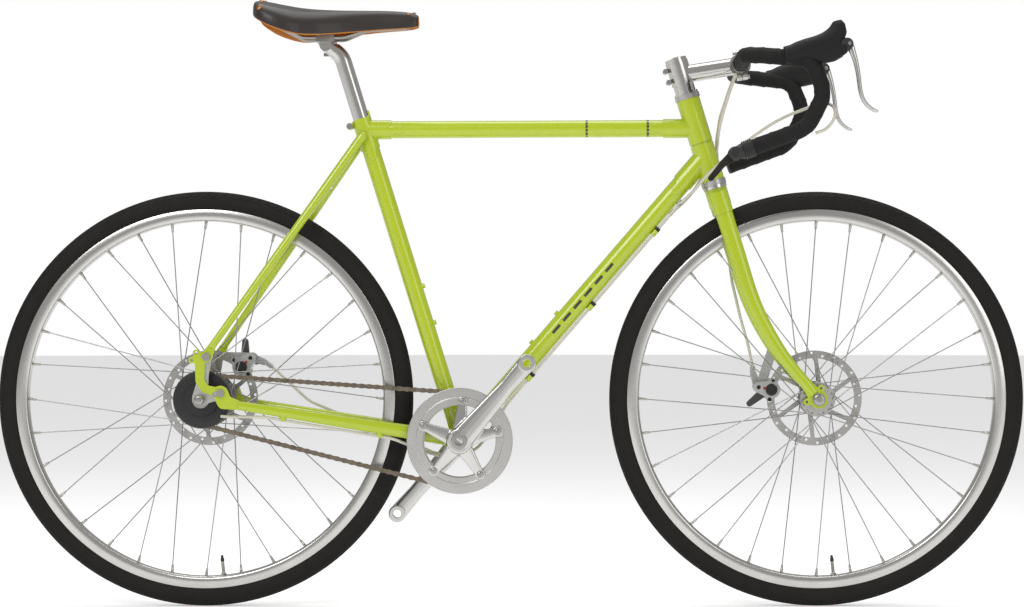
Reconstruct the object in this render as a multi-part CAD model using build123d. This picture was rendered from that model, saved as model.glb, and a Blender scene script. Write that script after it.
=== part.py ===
from build123d import *
import os
from math import cos, pi, radians, sin, sqrt, tan

# A road bicycle with a lugged steel frame, drop bar, internally geared rear hub and disc brakes.
# Millimetres. +X forward, -Y the drive side, +Z up. The wheels stand on Z = 0, and X = 0 is
# midway between the axles.

# ---- Frame lines ----
wheelbase = 1019.2
chainstay_length = 431.4
bb_drop = 68.3
seat_angle = 72.7
head_angle = 72.9
seat_tube_length = 542.0
seat_tube_above = 19.0
head_tube_length = 142.0
top_tube_below_head = 50.7
down_tube_above_base = 42.9
fork_length = 385.0
fork_rake = 57.6

# ---- Tubes ----
tube_wall = 1.0
seat_tube_radius = 14.6
top_tube_radius = 14.3
down_tube_radius = 15.9
head_tube_radius = 18.0
lug_wall = 1.7
lug_sleeve = 44.0
bb_shell_radius = 20.5
bb_shell_width = 68.0
bb_shell_bore = 17.5
seat_stay_top_radius = 7.6
seat_stay_tip_radius = 6.0
seat_stay_top_spread = 20.5
chain_stay_height = (13.0, 7.5)
chain_stay_width = (7.6, 6.6)
chain_stay_spread = 24.0
stay_bridge_radius = 5.0

# ---- Headset, stem and seatpost ----
headset_stack = 14.0
headset_radius = 21.0
steerer_radius = 14.3
steerer_wall = 2.0
stem_length = 100.0
stem_rise = 9.0
stem_clamp_height = 40.0
stem_clamp_radius = 19.0
stem_bar_width = 38.0
spacer_heights = (10.0, 4.0)
seatpost_radius = 13.6
seatpost_length = 290.0
seatpost_setback = 16.0
saddle_clamp_height = 152.0

# ---- Wheels ----
wheel_radius = 346.0
tyre_width = 35.0
tyre_wall = 2.8
rim_outer_radius = 316.0
rim_depth = 20.0
rim_width = 24.0
rim_wall = 2.0
bead_opening = 13.5
bead_height = 11.0
bead_thickness = 2.4
spoke_count = 32
spoke_radius = 0.9
spoke_crossings = 3
spoke_outer_stand = 1.6
rotor_radius = 80.0
rotor_thickness = 1.8
front_flange_radius = 29.0
front_flange_spacing = (-34.0, 22.0)
front_flange_thickness = 3.4
rear_flange_radius = 46.5
rear_flange_spacing = (-30.0, 26.0)
front_hub_width = 100.0
rear_hub_width = 135.0
front_rotor_y = 34.5
rear_rotor_y = 47.5

# ---- Drive ----
chain_pitch = 12.7
chain_line = 45.0
ring_teeth = 39
sprocket_teeth = 20
tooth_thickness = 2.2
crank_length = 170.0
crank_angle = 49.1
bolt_circle_radius = 65.0
guard_radius = 86.5
spindle_radius = 12.0

# ---- Handlebar ----
bar_half_width = 210.0
bar_radius = 11.9
bar_clamp_radius = 13.0
tape_thickness = 2.0

# ---- Axles, bosses and cables ----
axle_radius = 5.0
boss_places = (200.0, 264.0)
boss_radius = 4.2
boss_bore = 2.1
boss_height = 4.0
boss_depth = 0.9
cable_radius = 2.5

# ---- Clearances ----
touch = 0.05
running = 0.05
gap = 0.35


# ---- Places worked out from the sizes above ----
def polar(radius, angle, y=0.0):
    return Vector(radius * cos(radians(angle)), y, radius * sin(radians(angle)))


rear_axle = Vector(-wheelbase / 2, 0, wheel_radius)
front_axle = Vector(wheelbase / 2, 0, wheel_radius)
bottom_bracket = rear_axle + Vector(sqrt(chainstay_length**2 - bb_drop**2), 0, -bb_drop)
seat_line = polar(1, 180 - seat_angle)
head_line = polar(1, 180 - head_angle)
head_forward = polar(1, 90 - head_angle)
seat_cluster = bottom_bracket + seat_line * seat_tube_length
seat_tube_top = seat_cluster + seat_line * seat_tube_above
fork_foot = front_axle - head_forward * fork_rake
crown_race = fork_foot + head_line * fork_length
head_base = crown_race + head_line * headset_stack
head_top = head_base + head_line * head_tube_length
top_tube_head = head_top - head_line * top_tube_below_head
down_tube_head = head_base + head_line * down_tube_above_base
side = Vector(0, 1, 0)
down_tube_line = (down_tube_head - bottom_bracket).normalized()


back_of_down = Vector(-down_tube_line.Z, 0, down_tube_line.X)
front_of_seat = Vector(seat_line.Z, 0, -seat_line.X)


def boss_feet(line, out):
    """Where the bottle bosses of one tube stand on its centre line, and which way they face."""
    return [(bottom_bracket + line * place, out) for place in boss_places]


# ---- Shape helpers ----
def rod(start, end, radius, end_radius=None):
    """A round bar from start to end, tapered if a second radius is given."""
    length = (end - start).length
    plane = Plane(origin=start, z_dir=end - start)
    low = (Align.CENTER, Align.CENTER, Align.MIN)
    if end_radius is None:
        return plane * Cylinder(radius, length, align=low)
    return plane * Cone(radius, end_radius, length, align=low)


def pipe(start, end, radius, inner):
    """A round bar with a bore right through it."""
    over = (end - start).normalized() * 5
    return rod(start, end, radius) - rod(start - over, end + over, inner)


def disc(centre, radius, y_low, y_high, inner=0.0):
    """A plate turned about a line across the bicycle, between two y values."""
    start = Vector(centre.X, y_low, centre.Z)
    end = Vector(centre.X, y_high, centre.Z)
    if inner:
        return pipe(start, end, radius, inner)
    return rod(start, end, radius)


def mirrored(shape):
    return mirror(shape, about=Plane.XZ)


def capsule_face(x1, z1, r1, x2, z2, r2):
    """A flat link between two circles, drawn in the X, Z plane and facing -Y."""
    first = Pos(x1, z1) * Circle(r1)
    second = Pos(x2, z2) * Circle(r2)
    return Plane.XZ * make_hull(first.edges() + second.edges())


def plate(faces, y_low, y_high):
    """Side-view faces joined and given a thickness between two y values."""
    solids = [Pos(0, y_low, 0) * extrude(face, amount=y_high - y_low, dir=(0, 1, 0)) for face in faces]
    joined = solids[0]
    for solid in solids[1:]:
        joined = joined + solid
    return joined


def follow(points, radii, section_radius):
    """A round rod along straight runs joined by tangent arcs."""
    line = FilletPolyline(*points, radius=radii)
    return sweep(Plane(origin=line @ 0, z_dir=line % 0) * Circle(section_radius), path=line)


def largest_radii(points, share=0.45):
    """The largest bend radius that each corner of a route has room for."""
    radii = []
    for before, corner, after in zip(points, points[1:], points[2:]):
        into = Vector(*corner) - Vector(*before)
        out = Vector(*after) - Vector(*corner)
        turn = radians(into.get_angle(out))
        radii.append(share * min(into.length, out.length) / tan(turn / 2))
    return radii


# ---- Frame ----
def frame_tubes():
    """The main tubes, the bottom bracket shell and the lugs, mitred to each other."""
    head_core = rod(head_base, head_top, head_tube_radius)
    seat_core = rod(bottom_bracket, seat_tube_top, seat_tube_radius)
    shell_core = disc(bottom_bracket, bb_shell_radius, -bb_shell_width / 2, bb_shell_width / 2)
    head = pipe(head_base, head_top, head_tube_radius, head_tube_radius - tube_wall)
    seat = pipe(bottom_bracket, seat_tube_top, seat_tube_radius, seatpost_radius + running) - shell_core
    top = pipe(seat_cluster, top_tube_head, top_tube_radius, top_tube_radius - tube_wall)
    top = top - head_core - seat_core
    down = pipe(bottom_bracket, down_tube_head, down_tube_radius, down_tube_radius - tube_wall)
    down = down - head_core - shell_core - seat_core
    for foot, out in boss_feet(down_tube_line, back_of_down):
        down -= rod(foot, foot + out * down_tube_radius * 2, boss_radius)
    for foot, out in boss_feet(seat_line, front_of_seat):
        seat -= rod(foot, foot + out * seat_tube_radius * 2, boss_radius)
    shell = disc(bottom_bracket, bb_shell_radius, -bb_shell_width / 2, bb_shell_width / 2, bb_shell_bore)
    along_top = (top_tube_head - seat_cluster).normalized()
    top_core = rod(seat_cluster, top_tube_head, top_tube_radius)
    down_core = rod(bottom_bracket, down_tube_head, down_tube_radius)
    upper = rod(head_top - head_line * 76, head_top, head_tube_radius + lug_wall)
    upper += rod(top_tube_head, top_tube_head - along_top * (lug_sleeve + 12), top_tube_radius + lug_wall)
    upper = upper - rod(head_base, head_top + head_line, head_tube_radius) - top_core
    lower = rod(head_base, head_base + head_line * 64, head_tube_radius + lug_wall)
    lower += rod(
        down_tube_head, down_tube_head - down_tube_line * (lug_sleeve + 16), down_tube_radius + lug_wall,
    )
    lower = lower - rod(head_base - head_line, head_top, head_tube_radius) - down_core
    seat_lug = rod(seat_cluster - seat_line * 34, seat_tube_top, seat_tube_radius + lug_wall)
    seat_lug += rod(seat_cluster, seat_cluster + along_top * lug_sleeve, top_tube_radius + lug_wall)
    ear = seat_tube_top - seat_line * 9
    ear_centre = ear + Vector(-(seat_tube_radius + 7), 0, -4)
    seat_lug += disc(ear_centre, 5.5, -9, 9) + rod(ear_centre, ear, 5.0)
    seat_lug = seat_lug - rod(bottom_bracket, seat_tube_top + seat_line, seat_tube_radius)
    seat_lug = seat_lug - top_core - disc(ear_centre, 3.1, -20, 20)
    return {
        "head_tube": head,
        "seat_tube": seat,
        "top_tube": top,
        "down_tube": down,
        "bottom_bracket_shell": shell,
        "frame_lugs": [upper, lower, seat_lug],
    }, ear_centre


dropout_inner = rear_hub_width / 2
insert_thickness = 5.0
dropout_thickness = 6.0
dropout_outer = dropout_inner + insert_thickness + dropout_thickness
dropout_upper_bolt = rear_axle + Vector(10.9, 0, 71.0)
dropout_lower_bolt = rear_axle + Vector(34.0, 0, 11.0)
chain_stay_tip = rear_axle + Vector(64.0, 0, -9.2)
seat_stay_tip = rear_axle + Vector(18.5, 0, 86.0)
eyelet_places = (Vector(-6.0, 0, 77.5), Vector(-13.0, 0, 65.5))
eyelet_radius = 2.55
stay_tip_y = dropout_outer - dropout_thickness / 2


def dropouts():
    """C-shaped rear ends with two eyelets, and the sliding plates that hold the axle."""
    def link(a, ra, b, rb):
        return capsule_face(
            rear_axle.X + a[0], rear_axle.Z + a[1], ra, rear_axle.X + b[0], rear_axle.Z + b[1], rb,
        )

    arm_top, arm_foot = (0.0, 68.0), (0.5, 32.0)
    elbow, shelf = (8.5, 18.5), (26.0, 13.5)
    bolt = (dropout_lower_bolt.X - rear_axle.X, dropout_lower_bolt.Z - rear_axle.Z)
    stay = (chain_stay_tip.X - rear_axle.X, chain_stay_tip.Z - rear_axle.Z)
    faces = [
        link(arm_top, 8.5, arm_foot, 7.2),
        link(arm_foot, 7.2, elbow, 6.6),
        link(elbow, 6.6, shelf, 7.6),
        link(shelf, 7.6, bolt, 12.5),
        link(bolt, 12.5, (bolt[0] + 6, -3.0), 12.0),
        link((bolt[0] + 6, -3.0), 12.0, stay, chain_stay_height[1] - 0.3),
        link((10.9, 71.0), 9.0, (18.0, 84.0), 7.0),
        link(arm_top, 8.5, (10.9, 71.0), 9.0),
    ]
    for place in eyelet_places:
        faces.append(link((2.0, 69.0), 7.0, (place.X, place.Z), 5.4))
    outer = plate(faces, -dropout_outer, -dropout_inner - insert_thickness)
    for place in eyelet_places:
        outer -= disc(rear_axle + place, eyelet_radius, -100, -50)
    slot = plate([link((bolt[0] - 9.5, bolt[1] - 2), 4.1, bolt, 4.1)], -100, -50)
    outer = outer - slot - disc(dropout_upper_bolt, 4.1, -100, -50)
    inner_faces = [link((10.9, 71.0), 8.0, (6.0, 40.0), 8.0), link((6.0, 40.0), 8.0, (0, 4), 13.0)]
    inner_faces += [link((0, 4), 13.0, bolt, 9.5)]
    insert = plate(inner_faces, -dropout_inner - insert_thickness, -dropout_inner)
    insert = insert - disc(rear_axle, axle_radius + touch, -100, -50)
    insert = insert - disc(dropout_lower_bolt, 4.1, -100, -50) - disc(dropout_upper_bolt, 4.1, -100, -50)
    return [outer, mirrored(outer)], [insert, mirrored(insert)]


def stays(outer_dropout):
    """Seat stays and chain stays, each pair tapered and flared out to the dropouts, with bridges."""
    seat_core = rod(bottom_bracket, seat_tube_top, seat_tube_radius + lug_wall)
    shell_core = disc(bottom_bracket, bb_shell_radius, -60, 60)
    seat_core_tube = rod(bottom_bracket, seat_tube_top, seat_tube_radius)
    down_core = rod(bottom_bracket, down_tube_head, down_tube_radius)
    stay_top = seat_cluster + seat_line * -12 + Vector(-6, -seat_stay_top_spread, 0)
    stay_foot = Vector(seat_stay_tip.X, -stay_tip_y, seat_stay_tip.Z)
    reach = (stay_foot - stay_top).normalized()
    seat_stay = rod(stay_top, stay_foot, seat_stay_top_radius, seat_stay_tip_radius)
    seat_stay += Plane(origin=stay_top, z_dir=-reach) * Sphere(seat_stay_top_radius)
    seat_stay = seat_stay - seat_core - outer_dropout
    chain_foot = Vector(chain_stay_tip.X, -stay_tip_y, chain_stay_tip.Z)
    chain_top = bottom_bracket + Vector(-4, -chain_stay_spread, 1)
    line = (chain_foot - chain_top).normalized()
    sections = []
    for point, part_share in ((chain_top, 0), (chain_foot, 1)):
        section = Plane(origin=point, x_dir=(line.Y, -line.X, 0), z_dir=line)
        sections.append(section * Ellipse(chain_stay_width[part_share], chain_stay_height[part_share]))
    chain_stay = loft(sections)
    chain_stay = chain_stay - shell_core - seat_core_tube - down_core - outer_dropout
    chain_stay = Compound(children=list(chain_stay.solids())).solids().sort_by(SortBy.VOLUME)[-1]
    bridge_point = stay_top + (stay_foot - stay_top) * 0.235
    bridge = rod(
        Vector(bridge_point.X, bridge_point.Y, bridge_point.Z),
        Vector(bridge_point.X, -bridge_point.Y, bridge_point.Z), stay_bridge_radius,
    )
    bridge = bridge - rod(stay_top, stay_foot, seat_stay_top_radius, seat_stay_tip_radius)
    bridge = bridge - mirrored(rod(stay_top, stay_foot, seat_stay_top_radius, seat_stay_tip_radius))
    low_point = chain_top + (chain_foot - chain_top) * 0.145
    low_bridge = rod(
        Vector(low_point.X, low_point.Y, low_point.Z), Vector(low_point.X, -low_point.Y, low_point.Z),
        stay_bridge_radius,
    )
    low_bridge = low_bridge - chain_stay - mirrored(chain_stay)
    low_bridge = low_bridge.solids().sort_by(SortBy.VOLUME)[-1]
    return [seat_stay, mirrored(seat_stay)], [chain_stay, mirrored(chain_stay)], [bridge, low_bridge]


# ---- Wheels ----
def turned(centre, outline):
    """A ring turned about the axle line, from a closed outline of (radius, y) points."""
    face = Plane.XY * Polygon(*outline, align=None)
    solid = revolve(face, axis=Axis.Y)
    return Pos(centre.X, 0, centre.Z) * solid


def tyre(centre):
    """An open tyre casing whose beads sit inside the rim's hooks."""
    middle = wheel_radius - tyre_width / 2
    casing = Pos(middle, 0) * Circle(tyre_width / 2) - Pos(middle, 0) * Circle(tyre_width / 2 - tyre_wall)
    bead_half = rim_width / 2 - rim_wall - touch
    casing -= Pos(middle - tyre_width / 2, 0) * Rectangle(bead_opening, tyre_width)
    casing += Pos(rim_outer_radius + 0.6, bead_half + 0.7) * Rectangle(bead_height, bead_thickness)
    casing += Pos(rim_outer_radius + 0.6, -bead_half - 0.7) * Rectangle(bead_height, bead_thickness)
    rim_zone = Pos(rim_outer_radius - rim_depth / 2, 0) * Rectangle(
        rim_depth + 2 * touch, rim_width + 2 * touch,
    )
    solid = revolve(casing - rim_zone, axis=Axis.Y)
    return Pos(centre.X, 0, centre.Z) * solid


def rim(centre):
    """A channel-section rim with the tyre valve standing inward from it."""
    low, half = rim_outer_radius - rim_depth, rim_width / 2
    outline = [
        (rim_outer_radius, -half), (low + 5, -half), (low, -half + 6), (low, half - 6), (low + 5, half),
    ]
    outline += [(rim_outer_radius, half), (rim_outer_radius, half - rim_wall), (low + 6, half - rim_wall)]
    outline += [(low + rim_wall, half - 7), (low + rim_wall, -half + 7), (low + 6, -half + rim_wall)]
    outline += [(rim_outer_radius, -half + rim_wall)]
    hoop = turned(centre, outline)
    valve_line = polar(1, -90 + 180 / spoke_count)
    foot = Vector(centre.X, 0, centre.Z) + valve_line * (low + 9)
    neck = Vector(centre.X, 0, centre.Z) + valve_line * (low - 26)
    tip = Vector(centre.X, 0, centre.Z) + valve_line * (low - 34)
    hoop -= rod(foot, neck, 3.0 + touch)
    valve = rod(foot, neck, 3.0) + rod(neck, tip, 1.9)
    return [hoop, valve]


def spokes(centre, flanges, flange_radius, flange_thickness):
    """Crossed spokes, their elbows hooked through the flanges and nipples at the rim."""
    made, holes = [], []
    rim_inner = rim_outer_radius - rim_depth
    per_side = spoke_count // 2
    pitch = 360 / per_side
    middle = Vector(centre.X, 0, centre.Z)
    for number, flange_y in enumerate(flanges):
        outward = 1 if flange_y > 0 else -1
        for index in range(per_side):
            hub_angle = index * pitch + number * pitch / 2
            lean = 1 if index % 2 == 0 else -1
            rim_angle = hub_angle + lean * spoke_crossings * pitch
            stand = flange_thickness / 2 + spoke_radius + touch + (spoke_outer_stand if lean > 0 else 0)
            y_start = flange_y + lean * outward * stand
            elbow = middle + polar(flange_radius - 4.0, hub_angle, y_start)
            far = middle + polar(rim_inner - touch * 4, rim_angle, outward * 2.2)
            along = (far - elbow).normalized()
            nipple_start = far - along * 9.0
            spoke = rod(elbow, nipple_start, spoke_radius) + rod(nipple_start, far, 1.9)
            head_y = flange_y - lean * outward * (flange_thickness / 2 + touch + 0.2)
            through = elbow + Vector(0, head_y - y_start, 0)
            spoke += rod(elbow, through, spoke_radius) + Pos(elbow.X, elbow.Y, elbow.Z) * Sphere(spoke_radius)
            spoke += rod(
                through + Vector(0, lean * outward * 0.2, 0), through - Vector(0, lean * outward * 1.1, 0),
                1.9, 1.3,
            )
            made.append(spoke)
            start = middle + polar(flange_radius - 4.0, hub_angle, flange_y - flange_thickness)
            holes.append(rod(start, start + side * 2 * flange_thickness, spoke_radius + touch))
    return made, holes


def hub_shell(centre, flanges, flange_radius, flange_thickness, barrel, ends, rotor_seat, holes):
    """A turned hub with two drilled flanges, a running bore for its axle and a nose for the rotor."""
    bore = axle_radius + running
    face = rotor_seat[0] - rotor_thickness / 2 - touch
    shell = disc(centre, barrel, ends[0], ends[1]) + disc(centre, rotor_seat[1] - 4, ends[1] - 1, face)
    shell += disc(centre, rotor_seat[1] - 8 - touch, face - 1, rotor_seat[0] + 4)
    for flange_y in flanges:
        shell += disc(centre, flange_radius, flange_y - flange_thickness / 2, flange_y + flange_thickness / 2)
    for hole in holes:
        shell -= hole
    return shell - disc(centre, bore, ends[0] - 5, rotor_seat[0] + 20)


rotor_arms = 6


def rotor(centre, y_middle, hub_radius):
    """A brake disc: a drilled band carried on leaning arms from a bolted centre."""
    low, high = y_middle - rotor_thickness / 2, y_middle + rotor_thickness / 2
    band = disc(centre, rotor_radius, low, high, rotor_radius - 13)
    for index in range(rotor_arms):
        inner = polar(hub_radius - 3, index * 360 / rotor_arms)
        outer = polar(rotor_radius - 11, index * 360 / rotor_arms + 28)
        face = capsule_face(
            centre.X + inner.X, centre.Z + inner.Z, 4.2, centre.X + outer.X, centre.Z + outer.Z, 3.4,
        )
        band += plate([face], low, high)
    band += disc(centre, hub_radius, low, high)
    for index in range(24):
        hole = centre + polar(rotor_radius - 4.2 - 4.4 * (index % 2), index * 15 + 4)
        band -= disc(hole, 2.3, low - 1, high + 1)
    return band - disc(centre, hub_radius - 8, low - 1, high + 1)


# ---- Fork, headset and stem ----
fork_tip_angle = 50.0
fork_bend_run = 90.0
blade_half_depth = (14.6, 14.2, 12.0, 9.0)
blade_half_width = (10.5, 10.2, 8.8, 7.0)
blade_spread = (27.0, 53.0)
fork_tip_thickness = 6.0
fork_inner = front_hub_width / 2
crown_height = 30.0
upper_stack = 12.0
stem_centre = head_top + head_line * (upper_stack + sum(spacer_heights) + stem_clamp_height * 0.42)
bar_centre = stem_centre + polar(stem_length, stem_rise)


def blade_line():
    """The centre line of a fork blade seen from the side: straight, then one forward bend."""
    tip_line = polar(1, 180 - fork_tip_angle)
    away = front_axle - fork_foot
    step = away.length / sin(radians(head_angle - fork_tip_angle))
    corner = front_axle + tip_line * step
    radius = fork_bend_run / tan(radians(head_angle - fork_tip_angle) / 2)
    start = crown_race - head_line * 6
    end = front_axle + tip_line * 12
    return FilletPolyline(start, corner, end, radius=radius)


def shares(values, share):
    """A value read off evenly spaced stops, blended between them."""
    place = share * (len(values) - 1)
    index = min(int(place), len(values) - 2)
    return values[index] + (values[index + 1] - values[index]) * (place - index)


def fork_blade():
    line = blade_line()
    sections = []
    for step in range(9):
        share = step / 8
        point = line @ share
        place = Vector(point.X, -shares(blade_spread, share), point.Z)
        tangent = line % share
        section = Plane(origin=place, x_dir=(0, 1, 0), z_dir=tangent)
        sections.append(section * Ellipse(shares(blade_half_width, share), shares(blade_half_depth, share)))
    return loft(sections)


def fork_parts():
    blade = fork_blade()
    line = blade_line()
    tip_start = line @ 1
    tip_back = line @ 0.94
    face = [
        capsule_face(front_axle.X, front_axle.Z, 15.0, tip_start.X, tip_start.Z, 12.0),
        capsule_face(tip_start.X, tip_start.Z, 12.0, tip_back.X, tip_back.Z, 7.5),
    ]
    eyelets = (front_axle + Vector(4, 0, 19), front_axle + Vector(-20, 0, -4))
    for eyelet in eyelets:
        face.append(capsule_face(front_axle.X, front_axle.Z + 2, 9.0, eyelet.X, eyelet.Z, 5.2))
    tip = plate(face, -fork_inner - fork_tip_thickness, -fork_inner)
    tip -= disc(front_axle, axle_radius + touch, -80, -20)
    for eyelet in eyelets:
        tip -= disc(eyelet, eyelet_radius, -80, -20)
    blade = blade - plate(face, -fork_inner - fork_tip_thickness, -fork_inner)
    blade = blade - disc(front_axle, 16.5, -fork_inner - 0.01, -30)
    blade = blade.solids().sort_by(SortBy.VOLUME)[-1]
    steerer_end = head_top + head_line * (upper_stack + sum(spacer_heights) + stem_clamp_height - 3)
    steerer = pipe(
        crown_race - head_line * crown_height, steerer_end, steerer_radius, steerer_radius - steerer_wall,
    )
    crown = rod(crown_race - head_line * crown_height, crown_race, steerer_radius + 4.5)
    shoulder = crown_race - head_line * 17
    crown += rod(shoulder - side * blade_spread[0], shoulder + side * blade_spread[0], 13.5)
    sockets = []
    for way in (-1, 1):
        sections = []
        for step in (0.004, 0.1):
            point = line @ step
            place = Vector(point.X, way * shares(blade_spread, step), point.Z)
            section = Plane(origin=place, x_dir=(0, 1, 0), z_dir=line % step)
            sections.append(section * Ellipse(blade_half_width[0] + 1.6, blade_half_depth[0] + 1.6))
        sockets.append(loft(sections))
    crown = crown + sockets[0] + sockets[1]
    over = crown_race + head_line * 30
    crown = crown - rod(crown_race, over, 60) - rod(crown_race - head_line * 70, over, steerer_radius)
    crown = crown - blade - mirrored(blade)
    blade = blade - rod(crown_race - head_line * 60, over, steerer_radius)
    crown = crown.solids().sort_by(SortBy.VOLUME)[-1]
    race = pipe(crown_race, crown_race + head_line * 5, headset_radius - 1, steerer_radius + touch)
    return [blade, mirrored(blade), tip, mirrored(tip)], crown, steerer, race, steerer_end, eyelets


def headset():
    """Two pressed cups on the head tube; the fork's race and the top cover turn beside them."""
    inner = steerer_radius + 1.2
    lower = pipe(crown_race + head_line * (5 + gap), head_base, headset_radius, inner)
    lower += pipe(head_base, head_base + head_line * 8, head_tube_radius - tube_wall - touch, inner)
    upper = pipe(head_top, head_top + head_line * (upper_stack - 4), headset_radius, inner)
    upper += pipe(head_top - head_line * 8, head_top, head_tube_radius - tube_wall - touch, inner)
    cover = pipe(
        head_top + head_line * (upper_stack - 4 + gap), head_top + head_line * upper_stack,
        headset_radius - 1, steerer_radius + touch,
    )
    return [lower, upper], cover


def stem_parts(steerer_end):
    """Spacers, a round threadless stem with a split clamp, its faceplate, bolts and top cap."""
    spacers = []
    place = head_top + head_line * upper_stack
    for height in spacer_heights:
        spacers.append(pipe(place, place + head_line * height, 17.2, steerer_radius + touch))
        place = place + head_line * height
    clamp_top = place + head_line * stem_clamp_height
    clamp = rod(place, clamp_top, stem_clamp_radius)
    reach = (bar_centre - stem_centre).normalized()
    stem = clamp + rod(stem_centre, bar_centre, 14.5)
    stem += rod(
        bar_centre - side * stem_bar_width / 2, bar_centre + side * stem_bar_width / 2,
        bar_clamp_radius + 5.0,
    )
    ears = []
    for height in (10.0, 29.0):
        ear = place + head_line * height - head_forward * (stem_clamp_radius + 3.5)
        ears.append(ear)
        stem += rod(ear - side * 10, ear + side * 10, 4.4)
        stem += rod(ear, ear + head_forward * 8, 3.7)
    stem -= rod(place - head_line, clamp_top + head_line, steerer_radius + touch)
    stem -= rod(bar_centre - side * 40, bar_centre + side * 40, bar_clamp_radius + touch)
    front = Plane(origin=bar_centre + reach * 2, z_dir=reach)
    front_half = front * Box(120, 120, 80, align=(Align.CENTER, Align.CENTER, Align.MIN))
    clearance_half = front * Pos(0, 0, -1.2) * Box(
        120, 120, 80, align=(Align.CENTER, Align.CENTER, Align.MIN),
    )
    shell = rod(
        bar_centre - side * stem_bar_width / 2, bar_centre + side * stem_bar_width / 2,
        bar_clamp_radius + 5.0,
    )
    reach_up = Plane(origin=(0, 0, 0), x_dir=(0, 1, 0), z_dir=reach).y_dir
    lug_points = []
    for way in (-1, 1):
        lug_points.append(
            bar_centre + reach_up * way * (bar_clamp_radius + 7),
        )
    for point in lug_points:
        shell += rod(point - reach * 8, point + reach * 10, 5.0)
        stem += rod(point - reach * 8, point + reach * 1, 5.0)
    shell -= rod(bar_centre - side * 40, bar_centre + side * 40, bar_clamp_radius + touch)
    stem -= rod(bar_centre - side * 40, bar_centre + side * 40, bar_clamp_radius + touch)
    faceplate = shell & front_half
    stem = stem - clearance_half
    bolts = []
    for point in lug_points:
        hole = rod(point - reach * 12, point + reach * 14, 2.6)
        faceplate -= hole
        stem -= hole
        bolts.append(
            rod(point - reach * 6, point + reach * 10, 2.5)
            + rod(point + reach * 10, point + reach * 14, 4.0),
        )
    for ear in ears:
        stem -= rod(ear - side * 20, ear + side * 20, 2.6)
        bolts.append(rod(ear - side * 14, ear + side * 10, 2.5) + rod(ear - side * 14, ear - side * 10, 4.0))
    cap = rod(clamp_top, clamp_top + head_line * 5, stem_clamp_radius - 1)
    cap += rod(clamp_top, clamp_top + head_line * 7.5, 6.0)
    spacers.append(cap)
    return spacers, stem, faceplate, bolts


# ---- Handlebar, hoods and levers ----
bar_ramp = Vector(103.0, -206.0, -9.5)
bar_hook_front = Vector(124.0, -209.0, -64.5)
bar_hook_low = Vector(96.0, -211.0, -119.0)
bar_end = Vector(-6.0, -212.0, -156.0)
tape_start = 36.0
hood_wide = 31.0
lever_pivot = bar_centre + Vector(163.0, 0, 15.0)
lever_half = 5.0
shift_pivot = bar_centre + Vector(bar_end.X, 0, bar_end.Z) + Vector(-13.5, 0, -4.5)


def bar_points(first_y):
    return [
        bar_centre + Vector(0, first_y, 0),
        bar_centre + Vector(0, -bar_half_width * 0.92, 0),
        bar_centre + bar_ramp,
        bar_centre + bar_hook_front,
        bar_centre + bar_hook_low,
        bar_centre + bar_end,
    ]


bar_bends = [38.0, 30.0, 42.0, 42.0]


def swept_bar(first_y, outer, inner=0.0):
    line = FilletPolyline(*bar_points(first_y), radius=bar_bends)
    section = Circle(outer) - Circle(inner) if inner else Circle(outer)
    return sweep(Plane(origin=line @ 0, z_dir=line % 0) * section, path=line)


def handlebar():
    half = swept_bar(-20.0, bar_radius, bar_radius - 2)
    bulge = rod(bar_centre - side * 34, bar_centre + side * 34, bar_clamp_radius)
    bulge -= rod(bar_centre - side * 40, bar_centre + side * 40, bar_radius - 2)
    half -= rod(bar_centre - side * 21, bar_centre + side * 21, 12.2)
    bar = half + mirrored(half) + bulge
    tape = swept_bar(-tape_start, bar_radius + tape_thickness, bar_radius + touch)
    return bar, [tape, mirrored(tape)]


def hoods():
    """Rubber-covered lever bodies clamped to the front of the ramps, slotted for the levers."""
    y_low, y_high = -208 - hood_wide / 2, -208 + hood_wide / 2
    base, front, horn = bar_ramp + bar_centre, lever_pivot, bar_centre + Vector(139.5, 0, 40.0)
    faces = [
        capsule_face(base.X - 6, base.Z + 3, 15.5, front.X - 16, front.Z - 8, 15.5),
        capsule_face(front.X - 16, front.Z - 8, 15.5, front.X - 6, front.Z - 6, 12.0),
        capsule_face(front.X - 18, front.Z - 2, 16.0, horn.X, horn.Z, 13.0),
    ]
    body = plate(faces, y_low, y_high)
    body = body - swept_bar(-tape_start, bar_radius + tape_thickness + touch)
    body = body.solids().sort_by(SortBy.VOLUME)[-1]
    slot_half = lever_half + gap
    slots = [
        capsule_face(front.X, front.Z, 9.0, front.X + 40, front.Z - 60, 16.0),
        capsule_face(front.X, front.Z, 9.0, front.X + 30, front.Z + 20, 12.0),
        capsule_face(front.X, front.Z, 9.0, front.X - 3, front.Z - 60, 10.0),
    ]
    body -= plate(slots, -208 - slot_half, -208 + slot_half)
    body -= disc(lever_pivot, 2.0 + touch, y_low - 1, y_high + 1)
    pin = disc(lever_pivot, 2.0, y_low + 2, y_high - 2)
    return [body, mirrored(body), pin, mirrored(pin)]


def brake_lever():
    """A curved lever blade on its cross pin, hanging in front of the hook."""
    steps = [(0, 0, 7.5), (9, -22, 6.0), (16, -50, 5.2), (17.5, -78, 5.0), (23, -92, 4.8), (43, -106, 4.6)]
    faces = []
    for (x1, z1, r1), (x2, z2, r2) in zip(steps, steps[1:]):
        face = capsule_face(
            lever_pivot.X + x1, lever_pivot.Z + z1, r1, lever_pivot.X + x2, lever_pivot.Z + z2, r2,
        )
        faces.append(face)
    blade = plate(faces, -208 - lever_half, -208 + lever_half)
    return blade - disc(lever_pivot, 2.0 + running, -240, -180)


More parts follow.
